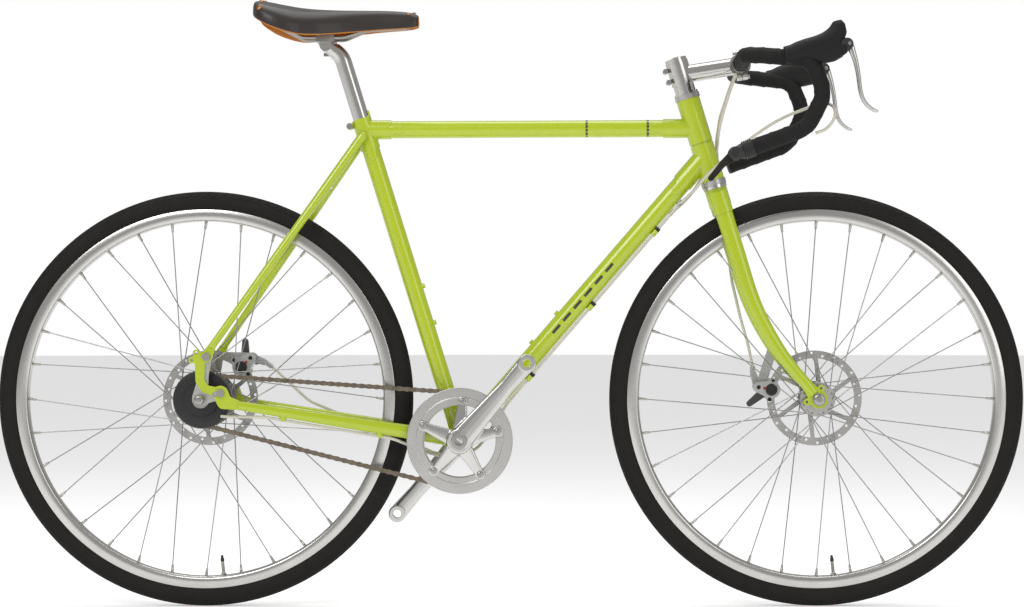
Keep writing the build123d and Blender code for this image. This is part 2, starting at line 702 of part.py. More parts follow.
def bar_end_parts():
    """The shifter's body in the drive-side bar end with its pivot pin, and the plain plug opposite."""
    run = (bar_end - bar_hook_low).normalized()
    end = bar_centre + bar_end
    body = rod(end + run * touch, end + run * 9, 12.5)
    body += disc(shift_pivot, 11.0, -212 - 12, -212 + 12)
    body -= disc(shift_pivot, 40.0, -212 - 5 - gap, -212 + 5 + gap) - rod(end, end + run * 4, 13)
    body -= disc(shift_pivot, 3.0 + touch, -240, -180)
    body = body.solids().sort_by(SortBy.VOLUME)[-1]
    pin = disc(shift_pivot, 3.0, -212 - 11, -212 + 11)
    plug_start = Vector(end.X, -end.Y, end.Z)
    turn_out = Vector(run.X, -run.Y, run.Z)
    plug = rod(plug_start + turn_out * touch, plug_start + turn_out * 4, 13.6, 12.0)
    steps = [(0, 0, 8.5), (-20, -17, 5.5), (-38, -39, 4.5)]
    faces = []
    for (x1, z1, r1), (x2, z2, r2) in zip(steps, steps[1:]):
        face = capsule_face(
            shift_pivot.X + x1, shift_pivot.Z + z1, r1, shift_pivot.X + x2, shift_pivot.Z + z2, r2,
        )
        faces.append(face)
    lever = plate(faces, -212 - 5, -212 + 5) - disc(shift_pivot, 3.0 + running, -240, -180)
    return [body, pin, plug], lever


# ---- Seatpost and saddle ----
saddle_pivot = seat_cluster + seat_line * saddle_clamp_height + Vector(-seatpost_setback - 3, 0, -4)
post_head_radius = 10.5
rail_radius = 3.5
rail_height = 11.3
leather_wall = 4.5
# Each station: x, half width, top height and skirt height, measured from the saddle pivot.
saddle_stations = [
    (-117.0, 50.0, 72.0, 46.0),
    (-104.0, 74.0, 73.0, 34.0),
    (-76.0, 82.0, 68.0, 20.0),
    (-40.0, 70.0, 62.0, 11.0),
    (0.0, 44.0, 59.5, 14.0),
    (44.0, 27.0, 58.5, 19.0),
    (95.0, 20.0, 58.0, 24.0),
    (140.0, 17.0, 55.0, 27.0),
    (155.0, 11.0, 49.5, 31.0),
]


def seatpost():
    bottom = seat_tube_top - seat_line * 110
    corner = seat_cluster + seat_line * (saddle_clamp_height - 24)
    end = saddle_pivot + Vector(5, 0, -2)
    line = FilletPolyline(bottom, corner, end, radius=32)
    post = sweep(
        Plane(origin=bottom, z_dir=line % 0) * (Circle(seatpost_radius) - Circle(seatpost_radius - 2.5)),
        path=line,
    )
    post -= Pos(saddle_pivot.X, 0, saddle_pivot.Z + 32) * Box(80, 80, 60)
    post += disc(saddle_pivot, post_head_radius, -16, 16)
    post -= Pos(saddle_pivot.X, 0, saddle_pivot.Z) * Box(14.0, 10.5, 60)
    return post.solids().sort_by(SortBy.VOLUME)[-1]


def arch(x, half_width, top, skirt, inset=0.0, drop=0.0):
    """The saddle's cross-section as a half ellipse standing on its skirt line."""
    place = Plane(
        origin=(saddle_pivot.X + x, 0, saddle_pivot.Z + skirt - drop), x_dir=(0, 1, 0), z_dir=(1, 0, 0),
    )
    height = top - skirt - inset + drop
    whole = Ellipse(half_width - inset, height)
    upper = whole & Pos(0, height / 2) * Rectangle(4 * half_width, height)
    return place * upper


def saddle():
    outer = loft([arch(*station) for station in saddle_stations])
    first, last = saddle_stations[0], saddle_stations[-1]
    hollow = [arch(first[0] - 2, *first[1:], inset=leather_wall, drop=7)]
    hollow += [arch(*station, inset=leather_wall, drop=7) for station in saddle_stations[1:-1]]
    leather = outer - loft(hollow)
    ring_outer = arch(first[0] + 1, *first[1:], inset=leather_wall + 1.2)
    ring_inner = arch(first[0] + 1, *first[1:], inset=leather_wall + 12)
    cantle = extrude(ring_outer - ring_inner, amount=3, dir=(1, 0, 0))
    nose_x = saddle_pivot.X + last[0] - 17
    nose = Pos(nose_x, 0, saddle_pivot.Z + 33) * Box(4, 18, 14)
    nose += rod(Vector(nose_x, 0, saddle_pivot.Z + 36), Vector(nose_x - 30, 0, saddle_pivot.Z + 36), 2.5)
    points = [
        Vector(first[0] + 5.6, -37, 49),
        Vector(-38, -25, rail_height),
        Vector(30, -20, rail_height),
        Vector(68, -7, 26),
        Vector(last[0] - 20.2, -4.2, 29.5),
    ]
    places = [Vector(saddle_pivot.X + p.X, p.Y, saddle_pivot.Z + p.Z) for p in points]
    rail = follow(places, [26, 26, 26], rail_radius)
    grip = []
    for low, high in ((4.0, rail_height), (rail_height, 19.5)):
        half = Pos(saddle_pivot.X, 0, saddle_pivot.Z + (low + high) / 2) * Box(30, 58, high - low - 0.3)
        half -= rail + mirrored(rail)
        half -= disc(saddle_pivot, post_head_radius + gap, -17, 17)
        half -= rod(
            Vector(saddle_pivot.X, 0, saddle_pivot.Z), Vector(saddle_pivot.X, 0, saddle_pivot.Z + 40),
            3.0 + touch,
        )
        grip.append(half.solids().sort_by(SortBy.VOLUME)[-1])
    foot = Vector(saddle_pivot.X, 0, saddle_pivot.Z - 13)
    screw = rod(foot, foot + Vector(0, 0, 35), 3.0) + rod(foot - Vector(0, 0, 5), foot, 4.6)
    screw += rod(foot + Vector(0, 0, 32.7), foot + Vector(0, 0, 37), 5.5)
    grip.append(screw)
    rivets = []
    station = saddle_stations[1]
    for angle in (-62, -31, 0, 31, 62):
        half_width, height = station[1], station[2] - station[3]
        y, z = half_width * sin(radians(angle)), height * cos(radians(angle))
        normal = Vector(0, y / half_width**2, z / height**2).normalized()
        start = Vector(saddle_pivot.X + station[0], y, saddle_pivot.Z + station[3] + z) + normal * 0.75
        rivets.append(rod(start, start + normal * 1.4, 4.5, 3.6))
    return leather, [cantle, nose], [rail, mirrored(rail)], grip, rivets


# ---- Drive ----
ring_y = -chain_line
guard_y = ring_y - 5.8
crank_y = -62.0
crank_thickness = 13.0
pedal_hole_radius = 6.9
spider_angles = [crank_angle - 35.5 + index * 72 for index in range(5)]
axle_end_y = dropout_outer + 12.0


def toothed(teeth, centre, y_middle, inner, first_angle=0.0):
    """A chain wheel whose teeth are left between roller seats on the pitch circle."""
    pitch_radius = chain_pitch / (2 * sin(pi / teeth))
    wheel = disc(
        centre, pitch_radius + 3.0, y_middle - tooth_thickness / 2, y_middle + tooth_thickness / 2, inner,
    )
    seats = None
    for index in range(teeth):
        place = centre + polar(pitch_radius, first_angle + index * 360 / teeth)
        seat = disc(place, 4.0, y_middle - tooth_thickness, y_middle + tooth_thickness)
        seats = seat if seats is None else seats + seat
    return wheel - seats


def crankset():
    pedal = polar(crank_length, crank_angle)
    arm_low, arm_high = crank_y - crank_thickness / 2, crank_y + crank_thickness / 2
    waist = polar(crank_length * 0.55, crank_angle)
    centre = bottom_bracket
    def arm_faces(sign):
        far = centre + Vector(pedal.X * sign, 0, pedal.Z * sign)
        mid = centre + Vector(waist.X * sign, 0, waist.Z * sign)
        return [
            capsule_face(centre.X, centre.Z, 22.0, mid.X, mid.Z, 16.0),
            capsule_face(mid.X, mid.Z, 16.0, far.X, far.Z, 14.5),
        ]
    right = plate(arm_faces(1), arm_low, arm_high)
    spider = []
    for angle in spider_angles:
        foot = centre + polar(bolt_circle_radius, angle)
        spider.append(capsule_face(centre.X, centre.Z, 20.0, foot.X, foot.Z, 8.0))
    right += plate(spider, guard_y - 7.0, guard_y - 1.5 - touch)
    right += disc(centre, 20.0, arm_high - 1, -bb_shell_width / 2 - 8 - gap)
    pedal_place = centre + pedal
    right -= disc(pedal_place, pedal_hole_radius, -100, -30)
    right -= disc(centre, spindle_radius + touch, -100, 0)
    left = plate(arm_faces(-1), -arm_high, -arm_low) + disc(centre, 20.0, 45, -arm_high + 1)
    left -= disc(centre - pedal, pedal_hole_radius, 30, 100)
    left -= disc(centre, spindle_radius + touch, 0, 100)
    spindle = disc(
        centre, spindle_radius, crank_y - crank_thickness / 2 + 2, -crank_y + crank_thickness / 2 - 2,
    )
    caps = [
        disc(centre, 14.0, arm_low - 2.0, arm_low - touch),
        disc(centre, 14.0, -arm_low + touch, -arm_low + 2.0),
    ]
    ring = toothed(ring_teeth, centre, ring_y, bolt_circle_radius - 6, 90)
    guard = disc(centre, guard_radius, guard_y - 1.5, guard_y + 1.5, bolt_circle_radius - 4)
    bolts = []
    for angle in spider_angles:
        place = centre + polar(bolt_circle_radius, angle)
        guard += disc(place, 8.5, guard_y - 1.5, guard_y + 1.5)
        ring += disc(place, 8.5, ring_y - tooth_thickness / 2, ring_y + tooth_thickness / 2)
        hole = disc(place, 4.0 + touch, -90, -20)
        ring, guard, right = ring - hole, guard - hole, right - hole
        stud = disc(place, 4.0, guard_y - 7.0, ring_y + 2.0)
        stud += (
            disc(place, 6.0, guard_y - 9.0, guard_y - 7.0 - touch)
            + disc(place, 6.0, ring_y + 1.1 + touch, ring_y + 3.0)
        )
        spacer = pipe(
            Vector(place.X, guard_y + 1.5 + touch, place.Z), Vector(place.X, ring_y - 1.1 - touch, place.Z),
            6.5, 4.0 + touch,
        )
        bolts += [stud, spacer]
    return [right, left, spindle] + caps, ring, guard, bolts


def bearings():
    """Cup-and-cartridge bearings screwed into both sides of the shell."""
    edge = bb_shell_width / 2
    cup = disc(bottom_bracket, 22.0, -edge - 8, -edge - touch, spindle_radius + running)
    cup += disc(bottom_bracket, bb_shell_bore - touch, -edge - touch, -edge + 16, spindle_radius + running)
    return [cup, mirrored(cup)]


def chain():
    """The chain as one plain loop of its real outside size, grooved for the teeth."""
    big = chain_pitch / (2 * sin(pi / ring_teeth))
    small = chain_pitch / (2 * sin(pi / sprocket_teeth))
    def band(grow):
        first = Pos(bottom_bracket.X, bottom_bracket.Z) * Circle(big + grow)
        second = Pos(rear_axle.X, rear_axle.Z) * Circle(small + grow)
        return Plane.XZ * make_hull(first.edges() + second.edges())
    outer = plate([band(4.25)], ring_y - 3.8, ring_y + 3.8)
    inner = plate([band(-4.25)], ring_y - 5, ring_y + 5)
    groove = plate([band(3.3)], ring_y - 1.5, ring_y + 1.5)
    return outer - inner - groove


def sprocket_parts():
    """The driven sprocket with its black guard disc, and the cable pulley beside it."""
    bore = 8.0 + running
    wheel = toothed(sprocket_teeth, rear_axle, ring_y, bore, 90 + 180 / sprocket_teeth)
    wheel += disc(rear_axle, 24.0, ring_y + tooth_thickness / 2 - 0.5, ring_y + 8.6, bore)
    guard = disc(rear_axle, 48.0, ring_y - 6.4, ring_y - 4.4, bore)
    guard += disc(rear_axle, 30.0, ring_y - 4.5, ring_y - tooth_thickness / 2 - touch, bore)
    for index in range(6):
        a, b = polar(39.0, index * 60), polar(39.0, index * 60 + 26)
        slot = capsule_face(
            rear_axle.X + a.X, rear_axle.Z + a.Z, 2.6, rear_axle.X + b.X, rear_axle.Z + b.Z, 2.6,
        )
        guard -= plate([slot], ring_y - 8, ring_y - 4.45)
    pulley = disc(rear_axle, 27.0, ring_y - 14.5, ring_y - 8.5, 8.0 + running)
    pulley -= disc(rear_axle, 40.0, ring_y - 12.5, ring_y - 10.5, 24.5)
    return [wheel, guard], pulley


def rear_axle_parts():
    """The fixed axle of the geared hub with its cone lock, its nuts and the non-turn washers."""
    rod_body = disc(rear_axle, axle_radius, -axle_end_y, axle_end_y)
    rod_body += disc(rear_axle, 8.0, ring_y - 22.4, ring_y + 9.2)
    rod_body += disc(rear_axle, 14.0, ring_y - 22.4, ring_y - 15.0)
    rod_body += disc(rear_axle, 12.0, rear_rotor_y + 8, dropout_inner - touch)
    nuts = []
    for way in (-1, 1):
        low, high = sorted((way * (dropout_inner + insert_thickness + touch), way * (axle_end_y - 3)))
        hexagon = Plane.XZ * Pos(rear_axle.X, rear_axle.Z) * RegularPolygon(8.6, 6)
        nut = plate([hexagon], low, high) - disc(rear_axle, axle_radius + touch, low - 1, high + 1)
        nuts.append(nut)
    return [rod_body] + nuts


def front_axle_parts():
    rod_body = disc(front_axle, axle_radius, -fork_inner - 14, fork_inner + 14)
    rod_body += disc(front_axle, 9.0, -fork_inner + touch, -fork_inner + 8)
    rod_body += disc(front_axle, 9.0, fork_inner - 8, fork_inner - touch)
    nuts = []
    for way in (-1, 1):
        low, high = sorted((way * (fork_inner + fork_tip_thickness + touch), way * (fork_inner + 12)))
        nut = disc(front_axle, 10.5, low, high, axle_radius + touch)
        nuts.append(nut)
    return [rod_body] + nuts


# ---- Brakes ----
pad_gap = 0.4
caliper_angle_rear = 44.7
caliper_angle_front = 169.0
arm_length = 40.0
arm_angle_rear = 90.0
arm_angle_front = 219.0
stop_rear = Vector(21.0, 0, -8.0)
stop_front = Vector(-8.0, 0, 24.0)


def caliper(axle, rotor_y, angle, arm_turn, stop):
    """A cable disc caliper straddling the rotor: body, pads, knobs, cable stop, and its moving arm."""
    place = axle + polar(rotor_radius - 6, angle)
    back = axle + polar(rotor_radius + 16, angle)
    y_low, y_high = rotor_y - 8.0, rotor_y + 22.0
    across = polar(17.0, angle + 90)
    faces = [
        capsule_face(
            place.X - across.X * 0.6, place.Z - across.Z * 0.6, 9.0, place.X + across.X * 0.6,
            place.Z + across.Z * 0.6, 9.0,
        ),
        capsule_face(place.X, place.Z, 15.0, back.X, back.Z, 9.0),
    ]
    body = plate(faces, y_low, y_high)
    stop_place = back + stop
    body += plate([capsule_face(back.X, back.Z, 7.0, stop_place.X, stop_place.Z, 5.0)], y_high - 8, y_high)
    slot_half = rotor_thickness / 2 + 2.2
    body -= disc(axle, rotor_radius + 3.0, rotor_y - slot_half, rotor_y + slot_half)
    body = body.solids().sort_by(SortBy.VOLUME)[-1]
    pads = []
    for way in (-1, 1):
        near = rotor_y + way * (rotor_thickness / 2 + pad_gap)
        far = rotor_y + way * (slot_half - touch)
        pads.append(disc(place, 9.0, *sorted((near, far))))
    pivot = place + polar(4.0, angle)
    post = disc(pivot, 4.0, y_high - 4, y_high + 12)
    post += disc(pivot, 6.5, y_high + 9, y_high + 12)
    body -= disc(pivot, 4.0 + touch, y_high - 4 - touch, y_high + 1)
    knobs = []
    for centre in (place - across * 0.75, back - across * 0.53):
        knobs.append(disc(centre, 4.0, y_high + touch, y_high + 9))
    barrel_y = y_high + 4.5 + touch
    tip = pivot + polar(arm_length, arm_turn)
    arm_face = capsule_face(pivot.X, pivot.Z, 8.5, tip.X, tip.Z, 5.0)
    arm = plate([arm_face], y_high + gap, y_high + 8.5) - disc(pivot, 4.0 + running, y_high - 1, y_high + 20)
    barrel = Vector(stop_place.X, barrel_y, stop_place.Z)
    return [body] + pads + [post] + knobs, arm, barrel, pivot


# ---- Cables, guides and threaded bosses ----
under_line = back_of_down * -1
cable_offset = down_tube_radius + 3.5
guide_places = (472.0, 308.0, 152.0)
frame_cable_start = 535.0
frame_cable_end = 95.0
cable_y = 7.0


def on_down_tube(along, offset, y):
    return bottom_bracket + down_tube_line * along + under_line * offset + side * y


def on_chain_stay(share, above, beside, way=-1):
    """A point beside a chain stay: share of its length, then an offset up and one outward."""
    top = bottom_bracket + Vector(-4, -chain_stay_spread, 1)
    foot = Vector(chain_stay_tip.X, -stay_tip_y, chain_stay_tip.Z)
    place = top + (foot - top) * share
    return Vector(place.X, -way * (place.Y - beside), place.Z + above)


def frame_cables(rear_barrel):
    """The gear and rear brake cables from their stops under the down tube back to the rear hub."""
    below = chain_stay_height[0] * 0.75 + chain_stay_height[1] * 0.25 + cable_radius + 1.2
    below_tip = chain_stay_height[1] + cable_radius + 1.0
    gear = [
        on_down_tube(frame_cable_start, cable_offset, -cable_y),
        on_down_tube(frame_cable_end, cable_offset, -cable_y),
        bottom_bracket + Vector(22, -11, -26.5),
        bottom_bracket + Vector(-44, -20, -25),
        on_chain_stay(0.3, -below, 0),
        on_chain_stay(0.88, -below_tip - 1.5, 0),
        Vector(rear_axle.X + 32, ring_y - 11.5, rear_axle.Z - 27.5),
    ]
    brake = [
        on_down_tube(frame_cable_start - 20, cable_offset, cable_y),
        on_down_tube(frame_cable_end, cable_offset, cable_y),
        bottom_bracket + Vector(22, 11, -26.5),
        bottom_bracket + Vector(-44, 20, -25),
        on_chain_stay(0.28, -below, 0, 1),
        on_chain_stay(0.42, -below + 5, 14, 1),
        on_chain_stay(0.56, 5, 13, 1),
        on_chain_stay(0.72, 19, 10, 1),
        Vector(rear_barrel.X + 12, rear_barrel.Y, rear_barrel.Z - 8),
    ]
    routes = []
    for name, points in (("gear cable", gear), ("rear brake cable", brake)):
        radii = [min(radius, 60.0) for radius in largest_radii(points)]
        line = FilletPolyline(*points, radius=radii)
        tube = follow(points, radii, cable_radius)
        print(
            name, [round(r) for r in radii], round(line.length), round(tube.volume / (pi * cable_radius**2))
        )
        routes.append(tube)
    return routes


def fork_cable(front_barrel):
    """The front brake cable: from the bar beside the stem, past the head tube, down a blade."""
    points = [
        bar_centre + Vector(-7, 31, -15.5),
        bar_centre + Vector(-17, 31, -42),
        bar_centre + Vector(-31, 32, -84),
        bar_centre + Vector(-37, 36, -125),
        bar_centre + Vector(-34, 42, -175),
        bar_centre + Vector(-26, 45, -235),
        bar_centre + Vector(-18, 47, -300),
        bar_centre + Vector(-10, 50, -360),
        bar_centre + Vector(4, 52, -420),
        bar_centre + Vector(17, 56, -465),
        Vector(front_barrel.X, front_barrel.Y, front_barrel.Z + 11),
    ]
    radii = [min(radius, 80.0) for radius in largest_radii(points)]
    line = FilletPolyline(*points, radius=radii)
    tube = follow(points, radii, cable_radius)
    print(
        "front brake cable", [round(r) for r in radii], round(line.length),
        round(tube.volume / (pi * cable_radius**2)),
    )
    return tube


def steering_loops():
    """The two loops that bend as the bar turns: rear brake and gear cable, bar to down tube."""
    brake = [
        bar_centre + Vector(-7, -31, -15.5),
        bar_centre + Vector(-16, -30, -40),
        bar_centre + Vector(-28, -22, -78),
        bar_centre + Vector(-36, -6, -112),
        bar_centre + Vector(-36, 18, -140),
        bar_centre + Vector(-52, 29, -172),
        on_down_tube(frame_cable_start + 24, cable_offset + 5, 17),
        on_down_tube(frame_cable_start - 18.6, cable_offset, cable_y),
    ]
    gear = [
        bar_centre + bar_hook_low + Vector(13, -2, -9),
        bar_centre + bar_hook_low + Vector(30, -3, -3),
        bar_centre + bar_hook_low + Vector(44, -3, 14),
        bar_centre + bar_hook_low + Vector(45, 7, 34),
        bar_centre + bar_hook_low + Vector(28, 23, 43),
        bar_centre + bar_hook_low + Vector(0, 33, 33),
        bar_centre + bar_hook_low + Vector(-26, 50, 24),
        bar_centre + bar_hook_low + Vector(-50, 84, 13),
        bar_centre + bar_hook_low + Vector(-84, 136, -9),
        bar_centre + bar_hook_low + Vector(-124, 168, -40),
        bar_centre + bar_hook_low + Vector(-156, 182, -70),
        on_down_tube(frame_cable_start + 30, cable_offset + 4, -20),
        on_down_tube(frame_cable_start + 1.4, cable_offset, -cable_y),
    ]
    loops = []
    for name, points in (("rear brake loop", brake), ("gear loop", gear)):
        radii = largest_radii(points)
        line = FilletPolyline(*points, radius=radii)
        tube = follow(points, radii, cable_radius)
        print(
            name, [round(r) for r in radii], round(line.length), round(tube.volume / (pi * cable_radius**2))
        )
        loops.append(tube)
    return loops


def cable_guides():
    """Brazed guides under the down tube and the drive-side chain stay."""
    guides = []
    down_core = rod(bottom_bracket, down_tube_head, down_tube_radius)
    for place in guide_places:
        start, end = place - 5, place + 5
        block = rod(
            on_down_tube(start, cable_offset, -cable_y), on_down_tube(end, cable_offset, -cable_y), 4.3,
        )
        block += rod(
            on_down_tube(start, cable_offset, cable_y), on_down_tube(end, cable_offset, cable_y), 4.3,
        )
        block += rod(
            on_down_tube(start, cable_offset - 3.5, 0), on_down_tube(end, cable_offset - 3.5, 0), 5.0,
        )
        guides.append(block - down_core)
    for share in (0.36, 0.8):
        under = chain_stay_height[0] * (1 - share) + chain_stay_height[1] * share + cable_radius + 1.4
        place = on_chain_stay(share, -under + 3, 0)
        guides.append(Pos(place.X, place.Y, place.Z) * Sphere(6.0))
    return guides


def bosses():
    """Threaded bottle bosses brazed through the walls of the down tube and the seat tube."""
    made = []
    for line, out, radius in (
        (down_tube_line, back_of_down, down_tube_radius),
        (seat_line, front_of_seat, seat_tube_radius),
    ):
        for foot, _ in boss_feet(line, out):
            shank = rod(foot + out * (radius - boss_depth), foot + out * (radius + boss_height), boss_radius)
            made.append(shank - rod(foot, foot + out * 2 * radius, boss_bore))
    return made


# ---- Putting it together ----
def build():
    """Every named node with its solids."""
    nodes, clamp_ear = frame_tubes()
    outer_dropouts, inserts = dropouts()
    seat_stays, chain_stays, bridges = stays(outer_dropouts[0])
    rear_caliper, rear_arm, rear_barrel, _ = caliper(
        rear_axle, rear_rotor_y, caliper_angle_rear, arm_angle_rear, stop_rear
    )
    front_caliper, front_arm, front_barrel, _ = caliper(
        front_axle, front_rotor_y, caliper_angle_front, arm_angle_front, stop_front
    )
    held = frame_cables(rear_barrel)
    blades, crown, steerer, race, steerer_end, _ = fork_parts()
    cups, cover = headset()
    spacers, stem, faceplate, stem_bolts = stem_parts(steerer_end)
    bar, tape = handlebar()
    levers = brake_lever()
    bar_ends, shift_lever = bar_end_parts()
    leather, cantle, rails, grip, rivets = saddle()
    arms, ring, guard, ring_bolts = crankset()
    sprocket, pulley = sprocket_parts()

    stays_solid = chain_stays[0] + chain_stays[1]
    guides = []
    for block in cable_guides():
        for cable in held:
            block = block - cable
        block = block - stays_solid
        guides.append(block.solids().sort_by(SortBy.VOLUME)[-1])

    frame_bolts = [
        disc(clamp_ear, 3.0, -12, 12) + disc(clamp_ear, 5.0, -12.5, -9.1) + disc(clamp_ear, 5.0, 9.1, 12.5),
    ]
    for place in (dropout_upper_bolt, dropout_lower_bolt):
        for way in (-1, 1):
            inner_end, outer_end = way * (dropout_inner + 0.5), way * (dropout_outer + touch)
            low, high = sorted((inner_end, outer_end + way * 2))
            screw = disc(place, 4.0, low, high)
            low, high = sorted((outer_end, outer_end + way * 4.5))
            frame_bolts.append(screw + disc(place, 6.6, low, high))

    bracket = rear_axle + polar(rotor_radius + 14, caliper_angle_rear)
    tab_y = dropout_inner - 6
    mount_face = capsule_face(
        dropout_upper_bolt.X, dropout_upper_bolt.Z, 6.5, bracket.X - 4, bracket.Z + 4, 6.0,
    )
    adapter = plate([mount_face], tab_y, dropout_inner - touch) - rear_caliper[0]
    adapter = adapter - disc(dropout_upper_bolt, 4.0 + touch, 0, 100)
    rear_caliper.append(adapter.solids().sort_by(SortBy.VOLUME)[-1])
    line = blade_line()
    upper, back = line @ 0.74, front_axle + polar(rotor_radius + 12, caliper_angle_front)
    tab = plate([capsule_face(upper.X, upper.Z, 8.0, back.X, back.Z, 8.0)], 44.5, 51.5)
    tab = tab - front_caliper[0] - blades[1]
    front_caliper.append(tab.solids().sort_by(SortBy.VOLUME)[-1])

    for caliper_parts, barrel, toward in (
        (rear_caliper, rear_barrel, Vector(12, 0, -8)),
        (front_caliper, front_barrel, Vector(0, 0, 11)),
    ):
        along = toward.normalized()
        sleeve = rod(barrel - along * 7, barrel + toward - along * gap, 4.4)
        caliper_parts.append(sleeve - rod(barrel - along * 9, barrel + toward, 1.2))

    front_spokes, front_holes = spokes(
        front_axle, front_flange_spacing, front_flange_radius, front_flange_thickness,
    )
    rear_spokes, rear_holes = spokes(
        rear_axle, rear_flange_spacing, rear_flange_radius, front_flange_thickness,
    )
    nodes |= {
        "seat_stays": seat_stays,
        "chain_stays": chain_stays,
        "stay_bridges": bridges,
        "rear_dropouts": outer_dropouts,
        "dropout_inserts": inserts,
        "frame_bolts": frame_bolts,
        "headset_cups": cups,
        "bottom_bracket_bearings": bearings(),
        "cable_guides": guides,
        "bottle_bosses": bosses(),
        "frame_cables": held,
        "rear_caliper": rear_caliper,
        "rear_axle": rear_axle_parts(),
        "seatpost": seatpost(),
        "saddle_clamp": grip,
        "saddle_rails": rails,
        "saddle_leather": leather,
        "saddle_plates": cantle + rivets,
        "fork_blades": blades,
        "fork_crown": crown,
        "steerer": [steerer, race],
        "headset_spacers": [cover] + spacers,
        "stem": [stem, faceplate],
        "stem_bolts": stem_bolts,
        "handlebar": bar,
        "bar_tape": tape,
        "brake_hoods": hoods(),
        "bar_ends": bar_ends,
        "front_caliper": front_caliper,
        "front_brake_cable": fork_cable(front_barrel),
        "front_axle": front_axle_parts(),
        "steering_cables": steering_loops(),
        "right_brake_lever": levers,
        "left_brake_lever": mirrored(levers),
        "front_brake_arm": front_arm,
        "rear_brake_arm": rear_arm,
        "shift_lever": shift_lever,
        "front_tyre": tyre(front_axle),
        "front_rim": rim(front_axle),
        "front_spokes": front_spokes,
        "front_hub": hub_shell(
            front_axle, front_flange_spacing, front_flange_radius, front_flange_thickness,
            13.0, (-41.6, 30.0), (front_rotor_y, 20.0), front_holes,
        ),
        "front_rotor": rotor(front_axle, front_rotor_y, 20.0),
        "rear_tyre": tyre(rear_axle),
        "rear_rim": rim(rear_axle),
        "rear_spokes": rear_spokes,
        "rear_hub": hub_shell(
            rear_axle, rear_flange_spacing, rear_flange_radius, front_flange_thickness,
            38.0, (-35.4, 38.0), (rear_rotor_y, 24.0), rear_holes,
        ),
        "rear_rotor": rotor(rear_axle, rear_rotor_y, 24.0),
        "crank_arms": arms,
        "chainring": ring,
        "chain_guard": guard,
        "chainring_bolts": ring_bolts,
        "chain": chain(),
        "sprocket": sprocket,
        "shift_pulley": pulley,
    }
    return nodes


def write(nodes):
    os.makedirs("parts", exist_ok=True)
    for name, shape in nodes.items():
        pieces = shape if isinstance(shape, list) else [shape]
        solids = [solid for piece in pieces for solid in piece.solids()]
        export_step(Compound(children=solids) if len(solids) > 1 else solids[0], f"parts/{name}.step")


write(build())
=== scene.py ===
import bpy
import bmesh
from math import atan2, cos, pi, radians, sin, sqrt, tan
from mathutils import Matrix, Vector


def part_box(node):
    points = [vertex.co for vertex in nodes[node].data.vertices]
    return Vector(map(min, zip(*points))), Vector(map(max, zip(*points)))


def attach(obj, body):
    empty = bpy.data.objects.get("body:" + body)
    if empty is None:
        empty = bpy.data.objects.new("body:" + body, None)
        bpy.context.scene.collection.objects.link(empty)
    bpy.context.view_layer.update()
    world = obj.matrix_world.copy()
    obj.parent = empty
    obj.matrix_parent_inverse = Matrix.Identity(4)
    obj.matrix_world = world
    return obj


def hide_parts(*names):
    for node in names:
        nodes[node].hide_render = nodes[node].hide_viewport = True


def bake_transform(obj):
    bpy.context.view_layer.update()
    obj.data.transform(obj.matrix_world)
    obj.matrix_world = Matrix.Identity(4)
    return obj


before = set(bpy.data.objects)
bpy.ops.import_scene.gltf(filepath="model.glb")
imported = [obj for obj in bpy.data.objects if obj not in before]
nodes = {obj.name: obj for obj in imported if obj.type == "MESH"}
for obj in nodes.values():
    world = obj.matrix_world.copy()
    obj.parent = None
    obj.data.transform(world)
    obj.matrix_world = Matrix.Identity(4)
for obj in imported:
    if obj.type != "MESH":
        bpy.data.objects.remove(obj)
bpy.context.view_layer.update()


# ---- Camera, floor and light ----
# A long lens stands level with the frame on the drive side. The floor is pale and plain, and
# large soft lamps leave a faint shadow under the tyres. The room beyond it is white.
camera_data = bpy.data.cameras.new("camera")
camera_data.lens = 92.5
camera_data.sensor_width = 36.0
camera_data.shift_x = -0.076
camera_data.shift_y = 0.0142
camera = bpy.data.objects.new("camera", camera_data)
camera.location = (0.1314, -4.4, 0.4807)
camera.rotation_euler = (radians(90), 0, 0)
bpy.context.collection.objects.link(camera)
bpy.context.scene.camera = camera
bpy.context.scene.view_settings.view_transform = "Standard"


def mesh_object(name, vertices, faces, smooth=True):
    """A new object from points and faces, shaded smooth unless told otherwise."""
    mesh = bpy.data.meshes.new(name)
    mesh.from_pydata([tuple(v) for v in vertices], [], faces)
    mesh.validate()
    for polygon in mesh.polygons:
        polygon.use_smooth = smooth
    made = bpy.data.objects.new(name, mesh)
    bpy.context.collection.objects.link(made)
    return made


def soft_lamp(name, place, target, size, power):
    """A large square lamp pointed at a place."""
    lamp = bpy.data.lights.new(name, "AREA")
    lamp.shape = "RECTANGLE"
    lamp.size, lamp.size_y = size
    lamp.energy = power
    made = bpy.data.objects.new(name, lamp)
    made.location = place
    made.rotation_euler = (Vector(target) - Vector(place)).to_track_quat("-Z", "Y").to_euler()
    bpy.context.collection.objects.link(made)
    return made


soft_lamp("key_lamp", (-1.8, -3.0, 3.0), (0, 0, 0.5), (2.4, 1.6), 62)
soft_lamp("fill_lamp", (2.6, -3.0, 1.6), (0, 0, 0.5), (1.6, 2.4), 20)
soft_lamp("top_lamp", (0.2, 0.4, 3.4), (0, 0, 0.3), (3.6, 1.6), 50)

